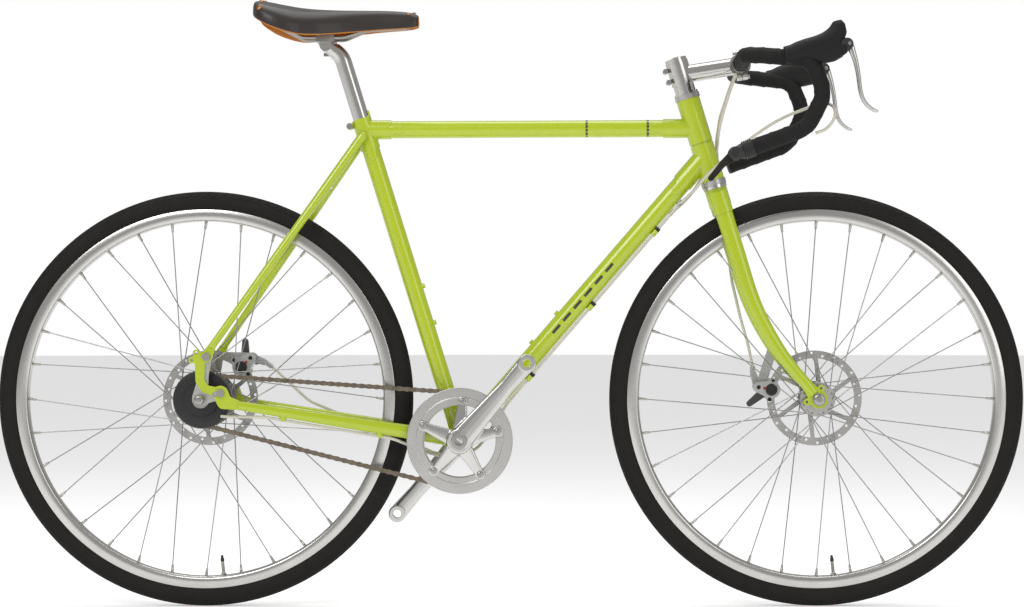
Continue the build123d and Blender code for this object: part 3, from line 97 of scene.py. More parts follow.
world = bpy.data.worlds.new("studio")
world.use_nodes = True
world.node_tree.nodes["Background"].inputs["Color"].default_value = (1.0, 1.0, 1.0, 1.0)
seen_directly = world.node_tree.nodes.new("ShaderNodeLightPath").outputs["Is Camera Ray"]
brightness = world.node_tree.nodes.new("ShaderNodeMapRange")
brightness.inputs["To Min"].default_value = 0.42
brightness.inputs["To Max"].default_value = 1.0
world.node_tree.links.new(seen_directly, brightness.inputs["Value"])
world.node_tree.links.new(brightness.outputs[0], world.node_tree.nodes["Background"].inputs["Strength"])
bpy.context.scene.world = world


def round_floor(radius):
    """A wide flat floor of rings, so that its edge is far off on every side."""
    rings, sides = 6, 96
    vertices, faces = [(0.0, 0.0, 0.0)], []
    for ring in range(1, rings + 1):
        reach = radius * (ring / rings) ** 2
        for n in range(sides):
            turn = 2 * pi * n / sides
            vertices.append((reach * cos(turn), reach * sin(turn), 0.0))
    for n in range(sides):
        faces.append((0, 1 + n, 1 + (n + 1) % sides))
    for ring in range(rings - 1):
        here, there = 1 + ring * sides, 1 + (ring + 1) * sides
        for n in range(sides):
            after = (n + 1) % sides
            faces.append((here + n, there + n, there + after, here + after))
    return mesh_object("floor", vertices, faces)


floor = round_floor(30.0)
floor_paint = bpy.data.materials.new("pale_floor")
floor_paint.use_nodes = True
floor_shader = floor_paint.node_tree.nodes["Principled BSDF"]
floor_shader.inputs["Base Color"].default_value = (0.93, 0.93, 0.93, 1.0)
floor_shader.inputs["Roughness"].default_value = 0.9
floor_shader.inputs["Emission Color"].default_value = (1.0, 1.0, 1.0, 1.0)
floor_shader.inputs["Emission Strength"].default_value = 0.35
floor.data.materials.append(floor_paint)


# ---- Frame: tubes, shell and dropouts ----
# Thin steel tubes brazed into a bottom bracket shell and lugs, filed smooth, then sprayed with
# lime green paint under clear lacquer. The paint has a slight orange peel and wears at the edges.
def colour(red, green, blue):
    """A colour as a shader takes it, from 0 to 255 values."""
    def straight(value):
        value = value / 255
        return value / 12.92 if value <= 0.04045 else ((value + 0.055) / 1.055) ** 2.4
    return (straight(red), straight(green), straight(blue), 1.0)


def effect_group(name, inputs, outputs):
    """An empty shader node group with named sockets, and its input and output nodes."""
    group = bpy.data.node_groups.new(name, "ShaderNodeTree")
    for label, start in inputs:
        socket = group.interface.new_socket(label, in_out="INPUT", socket_type="NodeSocketFloat")
        socket.default_value = start
    for label in outputs:
        group.interface.new_socket(label, in_out="OUTPUT", socket_type="NodeSocketFloat")
    return group, group.nodes.new("NodeGroupInput"), group.nodes.new("NodeGroupOutput")


def math_node(tree, operation, first, second, clamp=False):
    """A math node between two values, each a socket or a number."""
    node = tree.nodes.new("ShaderNodeMath")
    node.operation = operation
    node.use_clamp = clamp
    for place, value in enumerate((first, second)):
        if isinstance(value, (int, float)):
            node.inputs[place].default_value = value
        else:
            tree.links.new(value, node.inputs[place])
    return node.outputs[0]


def noise_node(tree, scale, detail, roughness=0.55, vector=None):
    """A noise texture in the piece's own coordinates."""
    if vector is None:
        vector = tree.nodes.new("ShaderNodeTexCoord").outputs["Object"]
    node = tree.nodes.new("ShaderNodeTexNoise")
    tree.links.new(vector, node.inputs["Vector"])
    node.inputs["Detail"].default_value = detail
    node.inputs["Roughness"].default_value = roughness
    if isinstance(scale, (int, float)):
        node.inputs["Scale"].default_value = scale
    else:
        tree.links.new(scale, node.inputs["Scale"])
    return node.outputs["Fac"]


def build_grain():
    """Fine unevenness: a height for bump and a slow patchy mask for colour and gloss."""
    starts = [("Scale", 900.0), ("Patch Scale", 14.0)]
    group, given, out = effect_group("fine_grain", starts, ["Height", "Patches"])
    fine = noise_node(group, given.outputs["Scale"], 3.0)
    slow = noise_node(group, given.outputs["Patch Scale"], 4.0)
    group.links.new(fine, out.inputs["Height"])
    group.links.new(slow, out.inputs["Patches"])
    return group


def build_edge_wear():
    """Edges rubbed by hands and tools: bright where the surface turns sharply, broken by noise."""
    group, given, out = effect_group("edge_wear", [("Amount", 0.5), ("Scale", 160.0)], ["Mask"])
    turn = group.nodes.new("ShaderNodeNewGeometry").outputs["Pointiness"]
    sharp = math_node(group, "SUBTRACT", turn, 0.52)
    sharp = math_node(group, "MULTIPLY", sharp, 14.0, clamp=True)
    broken = noise_node(group, given.outputs["Scale"], 4.0)
    broken = math_node(group, "SUBTRACT", broken, 0.35)
    mask = math_node(group, "MULTIPLY", sharp, math_node(group, "MULTIPLY", broken, 3.0, clamp=True))
    mask = math_node(group, "MULTIPLY", mask, given.outputs["Amount"], clamp=True)
    group.links.new(mask, out.inputs["Mask"])
    return group


def build_dust():
    """A faint film on surfaces that face up, in patches from one noise."""
    group, given, out = effect_group("settled_dust", [("Amount", 0.2), ("Scale", 45.0)], ["Mask"])
    facing = group.nodes.new("ShaderNodeSeparateXYZ")
    group.links.new(group.nodes.new("ShaderNodeNewGeometry").outputs["Normal"], facing.inputs[0])
    upward = math_node(group, "MULTIPLY", math_node(group, "ADD", facing.outputs["Z"], 0.6), 0.6, clamp=True)
    patch = noise_node(group, given.outputs["Scale"], 6.0)
    mask = math_node(group, "MULTIPLY", upward, patch)
    mask = math_node(group, "MULTIPLY", mask, given.outputs["Amount"], clamp=True)
    group.links.new(mask, out.inputs["Mask"])
    return group


fine_grain = build_grain()
edge_wear = build_edge_wear()
settled_dust = build_dust()


def new_finish(name, slot_colour, roughness, metallic=0.0):
    """A material with its Principled shader set to plain starting values."""
    material = bpy.data.materials.new(name)
    material.use_nodes = True
    shader = material.node_tree.nodes["Principled BSDF"]
    shader.inputs["Base Color"].default_value = slot_colour
    shader.inputs["Roughness"].default_value = roughness
    shader.inputs["Metallic"].default_value = metallic
    return material, material.node_tree, shader


def placed(tree, group, **values):
    """A shared effect placed in a material with this finish's own values."""
    node = tree.nodes.new("ShaderNodeGroup")
    node.node_tree = group
    for label, value in values.items():
        node.inputs[label.replace("_", " ")].default_value = value
    return node


def mixed(tree, mask, low, high):
    """Two colours blended by a mask; each is a colour or a socket."""
    node = tree.nodes.new("ShaderNodeMix")
    node.data_type = "RGBA"
    tree.links.new(mask, node.inputs[0])
    for place, value in ((6, low), (7, high)):
        if isinstance(value, tuple):
            node.inputs[place].default_value = value
        else:
            tree.links.new(value, node.inputs[place])
    return node.outputs[2]


def ranged(tree, mask, low, high):
    """A mask from 0 to 1 spread between two values."""
    node = tree.nodes.new("ShaderNodeMapRange")
    tree.links.new(mask, node.inputs["Value"])
    node.inputs["To Min"].default_value = low
    node.inputs["To Max"].default_value = high
    return node.outputs[0]


def bumped(tree, shader, height, strength, distance):
    """A bump on the shader's normal from a height."""
    bump = tree.nodes.new("ShaderNodeBump")
    bump.inputs["Strength"].default_value = strength
    bump.inputs["Distance"].default_value = distance
    tree.links.new(height, bump.inputs["Height"])
    tree.links.new(bump.outputs[0], shader.inputs["Normal"])


def wear_finish(
    name, base, second, worn, roughness, metallic=0.0, grain=900.0, bump=0.05, wear=0.5, dust=0.15,
):
    """A solid finish with slow colour change, worn edges, a little dust and a fine bump."""
    material, tree, shader = new_finish(name, base, roughness[0], metallic)
    grains = placed(tree, fine_grain, Scale=grain, Patch_Scale=18.0)
    edges = placed(tree, edge_wear, Amount=wear)
    film = placed(tree, settled_dust, Amount=dust)
    tone = mixed(tree, grains.outputs["Patches"], base, second)
    tone = mixed(tree, edges.outputs["Mask"], tone, worn)
    tone = mixed(tree, film.outputs["Mask"], tone, colour(150, 144, 132))
    tree.links.new(tone, shader.inputs["Base Color"])
    gloss = ranged(tree, grains.outputs["Patches"], roughness[0], roughness[1])
    dulled = math_node(tree, "MULTIPLY", film.outputs["Mask"], 0.4)
    tree.links.new(math_node(tree, "ADD", gloss, dulled), shader.inputs["Roughness"])
    bumped(tree, shader, grains.outputs["Height"], bump, 0.0002)
    return material, tree, shader


frame_paint, _, paint_shader = wear_finish(
    "frame_paint", colour(168, 186, 12), colour(173, 191, 15), colour(200, 212, 50),
    (0.2, 0.27), grain=1400.0, bump=0.02, wear=0.15, dust=0.02,
)
paint_shader.inputs["Coat Weight"].default_value = 0.7
paint_shader.inputs["Coat Roughness"].default_value = 0.06


def finish_nodes(material, *names):
    """Gives CAD nodes one finish in all their material slots."""
    for name in names:
        data = nodes[name].data
        if not data.materials:
            data.materials.append(material)
        for index in range(len(data.materials)):
            data.materials[index] = material


finish_nodes(
    frame_paint, "head_tube", "seat_tube", "top_tube", "down_tube", "bottom_bracket_shell", "frame_lugs",
    "seat_stays", "chain_stays", "stay_bridges", "rear_dropouts", "cable_guides", "bottle_bosses",
)


# ---- Lug points and painted marks ----
# Each lug sleeve ends in filed points that spread the load along its tube. They are brazed on
# and painted with the frame. Two plain dark bands and short plain dashes are painted over it.
def middle_of(name):
    """The middle of a CAD node's box."""
    low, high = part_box(name)
    return (Vector(low) + Vector(high)) / 2


def slanted(angle):
    """The upward line of a tube that leans back by this angle from the ground."""
    return Vector((-cos(radians(angle)), 0, sin(radians(angle))))


side = Vector((0, 1, 0))
bottom_bracket = middle_of("bottom_bracket_shell")
front_axle = middle_of("front_tyre")
rear_axle = middle_of("rear_tyre")
seat_line = slanted(72.7)
head_line = slanted(72.9)
head_forward = Vector((head_line.z, 0, -head_line.x))
seat_tube_length = 0.542
head_tube_length = 0.142
seat_cluster = bottom_bracket + seat_line * seat_tube_length
crown_race = front_axle - head_forward * 0.0576 + head_line * 0.385
head_base = crown_race + head_line * 0.014
head_top = head_base + head_line * head_tube_length
top_tube_head = head_top - head_line * 0.0507
down_tube_head = head_base + head_line * 0.0429
top_line = (top_tube_head - seat_cluster).normalized()
down_line = (down_tube_head - bottom_bracket).normalized()


def sheet_edge(rows, ribs):
    """The numbers of the points round the edge of a sheet of rows, each of ribs + 1 points."""
    wide = ribs + 1
    edge = list(range(wide)) + [row * wide + ribs for row in range(1, rows)]
    edge += [(rows - 1) * wide + rib for rib in range(ribs - 1, -1, -1)]
    return edge + [row * wide for row in range(rows - 2, 0, -1)]


def tube_patch(name, start, along, facing, radius, length, half_turn, outline, stand=0.0016, steps=22):
    """A thin shell that hugs a tube: outline(share) gives its half width as a share of half_turn."""
    along = along.normalized()
    facing = (facing - along * facing.dot(along)).normalized()
    across = along.cross(facing)
    ribs, sunk = 14, -0.0003
    wide = ribs + 1
    count = (steps + 1) * wide
    vertices, faces = [], []
    for outside in (True, False):
        for row in range(steps + 1):
            share = row / steps
            reach = half_turn * max(outline(share), 0.0)
            for rib in range(wide):
                turn = reach * (2 * rib / ribs - 1)
                near_edge = 1 - abs(2 * rib / ribs - 1) ** 6
                rounding = min(1.0, near_edge * 1.6 + 0.1) * min(1.0, (1 - share) * 8 + 0.15)
                lift = stand * rounding if outside else sunk
                outward = facing * cos(turn) + across * sin(turn)
                vertices.append(start + along * length * share + outward * (radius + lift))
    for row in range(steps):
        for rib in range(ribs):
            a = row * wide + rib
            faces.append((a, a + 1, a + wide + 1, a + wide))
            faces.append((count + a, count + a + wide, count + a + wide + 1, count + a + 1))
    edge = sheet_edge(steps + 1, ribs)
    for a, b in zip(edge, edge[1:] + edge[:1]):
        faces.append((a, count + a, count + b, b))
    return mesh_object(name, vertices, faces)


def spear(share):
    """A lug point: wide at its root, waisted, then a leaf-shaped tip."""
    if share < 0.45:
        return 1.0 - 0.62 * sin(share / 0.45 * pi / 2)
    leaf = (share - 0.45) / 0.55
    return 0.38 * sqrt(max(0.0, 1 - leaf ** 2)) * (1 + 0.25 * sin(leaf * pi))


def lug_tip(name, start, along, facing, radius, length, half_turn):
    """One filed point of a lug, painted with the frame."""
    tip = tube_patch(name, start, along, facing, radius, length, half_turn, spear)
    tip.data.materials.append(frame_paint)
    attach(tip, "frame")
    return tip


lug_sleeve = 0.044
point_length, point_turn = 0.024, 1.3
top_radius, down_radius, seat_radius, head_radius = 0.0143, 0.0159, 0.0146, 0.018
lug_points = (
    ("top_front", top_tube_head - top_line * (lug_sleeve + 0.0115), -top_line, top_radius, point_length),
    ("top_rear", seat_cluster + top_line * (lug_sleeve - 0.0005), top_line, top_radius, point_length),
    ("down", down_tube_head - down_line * (lug_sleeve + 0.0155), -down_line, down_radius, point_length),
    ("seat", seat_cluster - seat_line * 0.0335, -seat_line, seat_radius, 0.02),
)
for way, label in ((-1, "right"), (1, "left")):
    for where, start, along, radius, length in lug_points:
        lug_tip(f"lug_point_{where}_{label}", start, along, side * way, radius, length, point_turn)
front_start = seat_cluster + seat_line * 0.0185
lug_tip("lug_point_seat_front", front_start, seat_line, Vector((1, 0, 0)), seat_radius, 0.012, 1.0)

band_paint, _, band_shader = wear_finish(
    "band_paint", colour(34, 36, 16), colour(48, 50, 24), colour(90, 92, 50), (0.25, 0.36),
    grain=1100.0, wear=0.2,
)
band_shader.inputs["Coat Weight"].default_value = 0.5


def even_width(share):
    """An outline as wide at every share of its length."""
    return 1.0


for number, along in enumerate((0.369, 0.471)):
    band = tube_patch(
        f"top_tube_band_{number + 1}", seat_cluster + top_line * along, top_line, Vector((0, 0, 1)),
        top_radius, 0.0045, pi - 0.001, even_width, stand=0.00035, steps=4,
    )
    band.data.materials.append(band_paint)
    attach(band, "frame")
for number, along in enumerate((0.235, 0.262, 0.289, 0.316, 0.343, 0.370)):
    for way, label in ((-1, "right"), (1, "left")):
        dash = tube_patch(
            f"down_tube_dash_{label}_{number + 1}", bottom_bracket + down_line * along, down_line,
            side * way, down_radius, 0.018, 0.16, even_width, stand=0.0003, steps=4,
        )
        dash.data.materials.append(band_paint)
        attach(dash, "frame")


# ---- Bolts, bearings and bare metal ----
# Headset cups and bearing cups are turned alloy, pressed or screwed into the frame. Bolts and
# nuts are zinc-plated steel, slightly duller, with tool marks at their heads.
def metal_finish(name, base, second, roughness, grain=1500.0, bump=0.04, wear=0.25, dust=0.04, brushed=None):
    """Bare metal: a fine grain, a cloudy gloss and brighter edges; brushed stretches the grain."""
    worn = tuple(min(1.0, value * 1.25) for value in base[:3]) + (1.0,)
    material, tree, shader = wear_finish(name, base, second, worn, roughness, 1.0, grain, bump, wear, dust)
    if brushed:
        mapping = tree.nodes.new("ShaderNodeMapping")
        mapping.inputs["Scale"].default_value = brushed
        tree.links.new(tree.nodes.new("ShaderNodeTexCoord").outputs["Object"], mapping.inputs["Vector"])
        lines = noise_node(tree, 60.0, 3.0, vector=mapping.outputs[0])
        bumped(tree, shader, lines, bump * 2, 0.0001)
    return material


polished_alloy = metal_finish("polished_alloy", colour(208, 206, 202), colour(188, 186, 182), (0.12, 0.22))
satin_alloy = metal_finish(
    "satin_alloy", colour(196, 194, 190), colour(172, 170, 166), (0.28, 0.4), dust=0.05,
)
steel = metal_finish("plated_steel", colour(178, 176, 172), colour(150, 147, 142), (0.22, 0.36))
black_steel = metal_finish("blackened_steel", colour(38, 37, 36), colour(52, 50, 47), (0.35, 0.5), dust=0.3)
finish_nodes(satin_alloy, "dropout_inserts", "headset_cups", "bottom_bracket_bearings")
finish_nodes(steel, "frame_bolts", "rear_axle", "front_axle", "stem_bolts", "chainring_bolts")
finish_nodes(polished_alloy, "headset_spacers", "steerer", "seatpost", "stem", "crank_arms", "handlebar")
finish_nodes(frame_paint, "fork_blades", "fork_crown")


# ---- Tyres ----
# Moulded rubber casings with a raised file tread: a smooth centre, then slanted bars across each
# shoulder. The sidewalls have moulded ribs and a bead line where they meet the rim.
def turned_shape(name, centre, profile, turns=192):
    """A surface of revolution about the axle line, from (radius, across) points."""
    vertices, faces = [], []
    count = len(profile)
    for turn in range(turns):
        angle = 2 * pi * turn / turns
        for radius, across in profile:
            x, z = centre.x + radius * cos(angle), centre.z + radius * sin(angle)
            vertices.append((x, centre.y + across, z))
    for turn in range(turns):
        here, there = turn * count, (turn + 1) % turns * count
        for index in range(count):
            after = (index + 1) % count
            faces.append((here + index, here + after, there + after, there + index))
    return mesh_object(name, vertices, faces)


wheel_radius = 0.346
tyre_half = 0.0175
casing_radius = wheel_radius - tyre_half
rim_outer = 0.316
bead_half = 0.00995


def tyre_profile():
    """Half-round casing with sidewall ribs, closed inside so the rubber has its real wall."""
    points = []
    for step in range(65):
        turn = radians(-128 + step * 256 / 64)
        from_top = abs(turn) * 180 / pi
        lift = -0.0006 if from_top > 62 else 0.0
        if 70 < from_top < 74 or 96 < from_top < 100:
            lift = -0.0001
        if from_top < 14:
            lift = 0.0007
        reach = tyre_half - 0.0007 + lift
        points.append((casing_radius + reach * cos(turn), reach * sin(turn)))
    points.append((rim_outer + 0.0003, bead_half + 0.0016))
    points.append((rim_outer - 0.0008, bead_half - 0.0002))
    for step in range(33):
        turn = radians(124 - step * 248 / 32)
        points.append((casing_radius + (tyre_half - 0.0036) * cos(turn), (tyre_half - 0.0036) * sin(turn)))
    points.append((rim_outer - 0.0008, -bead_half + 0.0002))
    points.append((rim_outer + 0.0003, -bead_half - 0.0016))
    return points


tyre_rubber, _, rubber_shader = wear_finish(
    "tyre_rubber", colour(17, 15, 14), colour(24, 22, 20), colour(46, 42, 38), (0.6, 0.8),
    grain=2200.0, bump=0.12, wear=0.15, dust=0.07,
)
rubber_shader.inputs["Specular IOR Level"].default_value = 0.2


def tread_bars(name, centre):
    """Slanted bars standing on both shoulders of the tyre, an inner and an outer bar on each in every row.
    """
    vertices, faces = [], []
    rows = 150
    for index in range(rows):
        for way in (-1, 1):
            start_angle = 2 * pi * (index + (0.5 if way > 0 else 0.0)) / rows
            for low_turn, high_turn, slant, wide in ((16, 34, 0.008, 0.0056), (38, 58, 0.010, 0.0044)):
                base = len(vertices)
                for depth in (0, 1):
                    for step in range(5):
                        turn = radians(low_turn + (high_turn - low_turn) * step / 4) * way
                        reach = tyre_half - 0.0009 + depth * 0.0008
                        radius = casing_radius + reach * cos(turn)
                        half = wide / 2 / wheel_radius - depth * 0.0006
                        for edge in (-1, 1):
                            angle = start_angle + slant * step / 4 / wheel_radius + edge * half
                            x, z = centre.x + radius * cos(angle), centre.z + radius * sin(angle)
                            vertices.append((x, centre.y + reach * sin(turn), z))
                for step in range(4):
                    a, b = base + step * 2, base + 10 + step * 2
                    faces += [(b, b + 1, b + 3, b + 2), (a, b, b + 2, a + 2), (a + 1, a + 3, b + 3, b + 1)]
                faces += [(base, base + 1, base + 11, base + 10), (base + 8, base + 18, base + 19, base + 9)]
                for a in range(base, base + 8, 2):
                    faces.append((a, a + 2, a + 3, a + 1))
    return mesh_object(name, vertices, faces, smooth=False)


for label, centre in (("front", front_axle), ("rear", rear_axle)):
    casing = turned_shape(f"{label}_tyre_casing", centre, tyre_profile())
    casing.data.materials.append(tyre_rubber)
    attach(casing, f"{label}_wheel")
    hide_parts(f"{label}_tyre")
    tread = tread_bars(f"{label}_tyre_tread", centre)
    tread.data.materials.append(tyre_rubber)
    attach(tread, f"{label}_wheel")


# ---- Rims, nipples and valves ----
# Extruded alloy hoops rolled round and pinned, polished with fine lines running round them.
# Brass nipples sit in small raised seats, and the tube's valve stands in with its ring and cap.
def hoop_finish(name, axle, base, second, roughness, rings=2400.0, metallic=1.0):
    """Metal turned or brushed round an axle, with fine rings in its bump."""
    worn = tuple(min(1.0, value * 1.2) for value in base[:3]) + (1.0,)
    material, tree, shader = wear_finish(
        name, base, second, worn, roughness, metallic, grain=1200.0, bump=0.02, wear=0.12, dust=0.04,
    )
    coordinates = tree.nodes.new("ShaderNodeTexCoord")
    split = tree.nodes.new("ShaderNodeSeparateXYZ")
    tree.links.new(coordinates.outputs["Object"], split.inputs[0])
    across = math_node(tree, "SUBTRACT", split.outputs["X"], axle.x)
    upward = math_node(tree, "SUBTRACT", split.outputs["Z"], axle.z)
    across = math_node(tree, "MULTIPLY", across, across)
    upward = math_node(tree, "MULTIPLY", upward, upward)
    radius = math_node(tree, "SQRT", math_node(tree, "ADD", across, upward), 0.0)
    join = tree.nodes.new("ShaderNodeCombineXYZ")
    tree.links.new(radius, join.inputs[0])
    tree.links.new(split.outputs["Y"], join.inputs[1])
    lines = noise_node(tree, rings, 2.0, vector=join.outputs[0])
    bumped(tree, shader, lines, 0.08, 0.0001)
    return material


def rim_profile():
    """The rim's section: hooked side walls, a rounded bed and a shallow crown inside."""
    low, half, wall = rim_outer - 0.020, 0.012, 0.002
    points = [(rim_outer, -half + 0.0004), (rim_outer - 0.0006, -half), (low + 0.007, -half + 0.0002)]
    for step in range(9):
        turn = radians(step * 90 / 8)
        points.append((low + 0.006 - 0.006 * sin(turn), -half + 0.0004 + 0.0068 * (1 - cos(turn))))
    points += [(radius, -across) for radius, across in reversed(points)]
    points += [(rim_outer, half - wall), (low + 0.007, half - wall), (low + 0.003, half - 0.007)]
    points += [(low + 0.003, -half + 0.007), (low + 0.007, -half + wall), (rim_outer, -half + wall)]
    return points


spoke_count = 32
crossings = 3
flange_layout = {"front": (front_axle, (-0.034, 0.022), 0.029), "rear": (rear_axle, (-0.030, 0.026), 0.0465)}
nipple_brass = metal_finish("plated_brass", colour(186, 184, 178), colour(156, 152, 142), (0.25, 0.4))


def ring_points(centre, along, radius, sides):
    """Points round a circle square to a line."""
    along = along.normalized()
    first = along.orthogonal().normalized()
    second = along.cross(first)
    turns = [2 * pi * n / sides for n in range(sides)]
    return [centre + first * radius * cos(turn) + second * radius * sin(turn) for turn in turns]


def close_tube(faces, first, rows, sides):
    """Faces between rings of points and over both ends; first is the first ring's first point."""
    for row in range(rows - 1):
        here, there = first + row * sides, first + (row + 1) * sides
        for n in range(sides):
            after = (n + 1) % sides
            faces.append((here + n, here + after, there + after, there + n))
    last = first + (rows - 1) * sides
    faces.append(tuple(first + n for n in range(sides - 1, -1, -1)))
    faces.append(tuple(last + n for n in range(sides)))


def lathe(vertices, faces, start, along, steps, sides=12):
    """Adds a turned form along a line: steps are (distance, radius) pairs, closed at both ends."""
    along = along.normalized()
    first = len(vertices)
    for distance, radius in steps:
        vertices += ring_points(start + along * distance, along, max(radius, 0.00002), sides)
    close_tube(faces, first, len(steps), sides)


def turned_piece(name, start, along, steps, material, body, sides=32):
    """One turned piece as its own object."""
    vertices, faces = [], []
    lathe(vertices, faces, start, along, steps, sides)
    piece = mesh_object(name, vertices, faces)
    shade_by_angle(piece)
    piece.data.materials.append(material)
    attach(piece, body)
    return piece


def shade_by_angle(piece, limit=35):
    """Smooth shading that keeps edges sharper than the limit."""
    edges = bmesh.new()
    edges.from_mesh(piece.data)
    bmesh.ops.recalc_face_normals(edges, faces=edges.faces)
    for edge in edges.edges:
        if len(edge.link_faces) == 2 and edge.calc_face_angle(0.0) > radians(limit):
            edge.smooth = False
    edges.to_mesh(piece.data)
    edges.free()


def wheel_turn(axle, radius, angle, across):
    """A place at a radius and an angle in degrees round an axle."""
    return Vector((axle.x + radius * cos(radians(angle)), across, axle.z + radius * sin(radians(angle))))


def nipples_and_seats(label, axle, flanges, flange_radius):
    """A stepped nipple and its raised seat on each spoke line."""
    steps = [(-0.0016, 0.0034), (0.0002, 0.0033), (0.0004, 0.0022), (0.0012, 0.0021), (0.0014, 0.0025)]
    steps += [(0.0048, 0.0025), (0.0054, 0.0021), (0.0118, 0.0020), (0.0122, 0.0014)]
    vertices, faces = [], []
    pitch = 360 / (spoke_count // 2)
    for number, flange_y in enumerate(flanges):
        outward = 1 if flange_y > 0 else -1
        for index in range(spoke_count // 2):
            hub_angle = index * pitch + number * pitch / 2
            lean = 1 if index % 2 == 0 else -1
            rim_angle = hub_angle + lean * crossings * pitch
            near = wheel_turn(axle, flange_radius - 0.004, hub_angle, flange_y)
            far = wheel_turn(axle, rim_outer - 0.0202, rim_angle, outward * 0.0022)
            along = (near - far).normalized()
            lathe(vertices, faces, far, along, steps, 12)
    piece = mesh_object(f"{label}_nipples", vertices, faces)
    shade_by_angle(piece)
    piece.data.materials.append(nipple_brass)
    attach(piece, f"{label}_wheel")


spoke_steel = metal_finish(
    "spoke_steel", colour(170, 170, 170), colour(140, 139, 137), (0.18, 0.3), grain=2600.0, bump=0.03,
)
black_plastic, _, _ = wear_finish(
    "black_plastic", colour(16, 16, 17), colour(24, 24, 24), colour(52, 50, 48), (0.4, 0.55),
    grain=1800.0, bump=0.08, dust=0.06,
)
for label, (axle, flanges, flange_radius) in flange_layout.items():
    rim_alloy = hoop_finish(
        f"{label}_rim_alloy", axle, colour(206, 205, 202), colour(184, 182, 178), (0.16, 0.27),
    )
    hoop = turned_shape(f"{label}_rim_hoop", axle, rim_profile())
    shade_by_angle(hoop, 50)
    hoop.data.materials.append(rim_alloy)
    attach(hoop, f"{label}_wheel")
    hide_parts(f"{label}_rim")
    nipples_and_seats(label, axle, flanges, flange_radius)
    finish_nodes(spoke_steel, f"{label}_spokes")
    foot = wheel_turn(axle, rim_outer - 0.018, -90 + 180 / spoke_count, 0.0)
    inward = (Vector((axle.x, 0, axle.z)) - foot).normalized()
    stem_steps = [(0.0, 0.0028), (0.006, 0.0028)]
    for turn in range(14):
        stem_steps += [(0.0065 + turn * 0.0012, 0.0029), (0.0071 + turn * 0.0012, 0.0025)]
    stem_steps += [(0.0240, 0.0026), (0.0242, 0.0017), (0.0300, 0.0017)]
    ring_steps = [(0, 0.0044), (0.0004, 0.0049), (0.0022, 0.0049), (0.0026, 0.0044)]
    cap_steps = [(0.0, 0.0028), (0.0016, 0.0032), (0.0050, 0.0030), (0.0062, 0.0023), (0.0100, 0.0021)]
    cap_steps.append((0.0108, 0.0012))
    ring_foot, cap_foot = foot + inward * 0.0022, foot + inward * 0.0243
    wheel = f"{label}_wheel"
    turned_piece(f"{label}_valve_stem", foot, inward, stem_steps, nipple_brass, wheel, 20)
    turned_piece(f"{label}_valve_ring", ring_foot, inward, ring_steps, nipple_brass, wheel, 6)
    turned_piece(
        f"{label}_valve_cap", cap_foot, inward, cap_steps, black_plastic, wheel, 16,
    )


# ---- Hubs and brake discs ----
# Cast and turned hub shells, polished, with their axle ends locked in the dropouts. The stainless
# brake discs are stamped with holes and arms and held to each hub by six button-head screws.
for label, axle in (("front", front_axle), ("rear", rear_axle)):
    hub_alloy = hoop_finish(
        f"{label}_hub_alloy", axle, colour(204, 202, 198), colour(170, 168, 163), (0.18, 0.3), 3200.0,
    )
    disc_steel = hoop_finish(
        f"{label}_disc_steel", axle, colour(188, 186, 183), colour(160, 157, 152), (0.22, 0.34), 5200.0,
    )
    finish_nodes(hub_alloy, f"{label}_hub")
    finish_nodes(disc_steel, f"{label}_rotor")


def hexagon_recess(vertices, faces, centre, along, head_radius, height, recess):
    """A button head with a hexagonal recess, added to a mesh being built."""
    along = along.normalized()
    sides = 24
    first = len(vertices)
    rings = [(0.0, head_radius), (height * 0.45, head_radius * 0.98)]
    rings += [(height * 0.85, head_radius * 0.8), (height, head_radius * 0.62)]
    for distance, radius in rings:
        vertices += ring_points(centre + along * distance, along, radius, sides)
    start = along.orthogonal().normalized()
    other = along.cross(start)
    for distance in (height, height * 0.35):
        for n in range(sides):
            turn = 2 * pi * n / sides
            corner = cos(pi / 6) / cos((turn % (pi / 3)) - pi / 6)
            reach = recess * corner
            middle = centre + along * distance
            vertices.append(middle + start * reach * cos(turn) + other * reach * sin(turn))
    close_tube(faces, first, len(rings) + 2, sides)


def screw_heads(name, places, along, head_radius, height, recess, material, body):
    """A set of matching socket screws as one piece."""
    vertices, faces = [], []
    for place in places:
        hexagon_recess(vertices, faces, place, along, head_radius, height, recess)
    piece = mesh_object(name, vertices, faces)
    shade_by_angle(piece)
    piece.data.materials.append(material)
    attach(piece, body)
    return piece


screw_circles = (("front", front_axle, 0.0354, 0.0155), ("rear", rear_axle, 0.0484, 0.0195))
for label, axle, across, circle in screw_circles:
    places = [wheel_turn(axle, circle, 30 + turn * 60, across) for turn in range(6)]
    screw_heads(
        f"{label}_disc_screws", places, side, 0.0026, 0.0018, 0.0012, black_steel,
        f"{label}_wheel",
    )
for way, label in ((-1, "right"), (1, "left")):
    out = side * way
    end = Vector((rear_axle.x, way * 0.0905, rear_axle.z))
    cap = [(-0.008, 0.0070), (-0.0075, 0.0082), (-0.002, 0.0082), (0.0, 0.0074)]
    cap += [(0.0012, 0.0058), (0.0014, 0.0030)]
    turned_piece(f"rear_axle_cap_{label}", end, out, cap, steel, "frame", 36)
    end = Vector((front_axle.x, way * 0.064, front_axle.z))
    screw_heads(f"front_axle_socket_{label}", [end], out, 0.0088, 0.0022, 0.0030, steel, "fork")


# ---- Crankset, chainring guard and chain ----
# Forged alloy arms, polished: the drive side flows into five spider arms that carry the chainring
# and its guard ring. The roller chain has riveted outer and inner links, dulled by oil.
def plane_vector(x, z):
    """A vector in the bicycle's middle plane."""
    return Vector((x, 0.0, z))


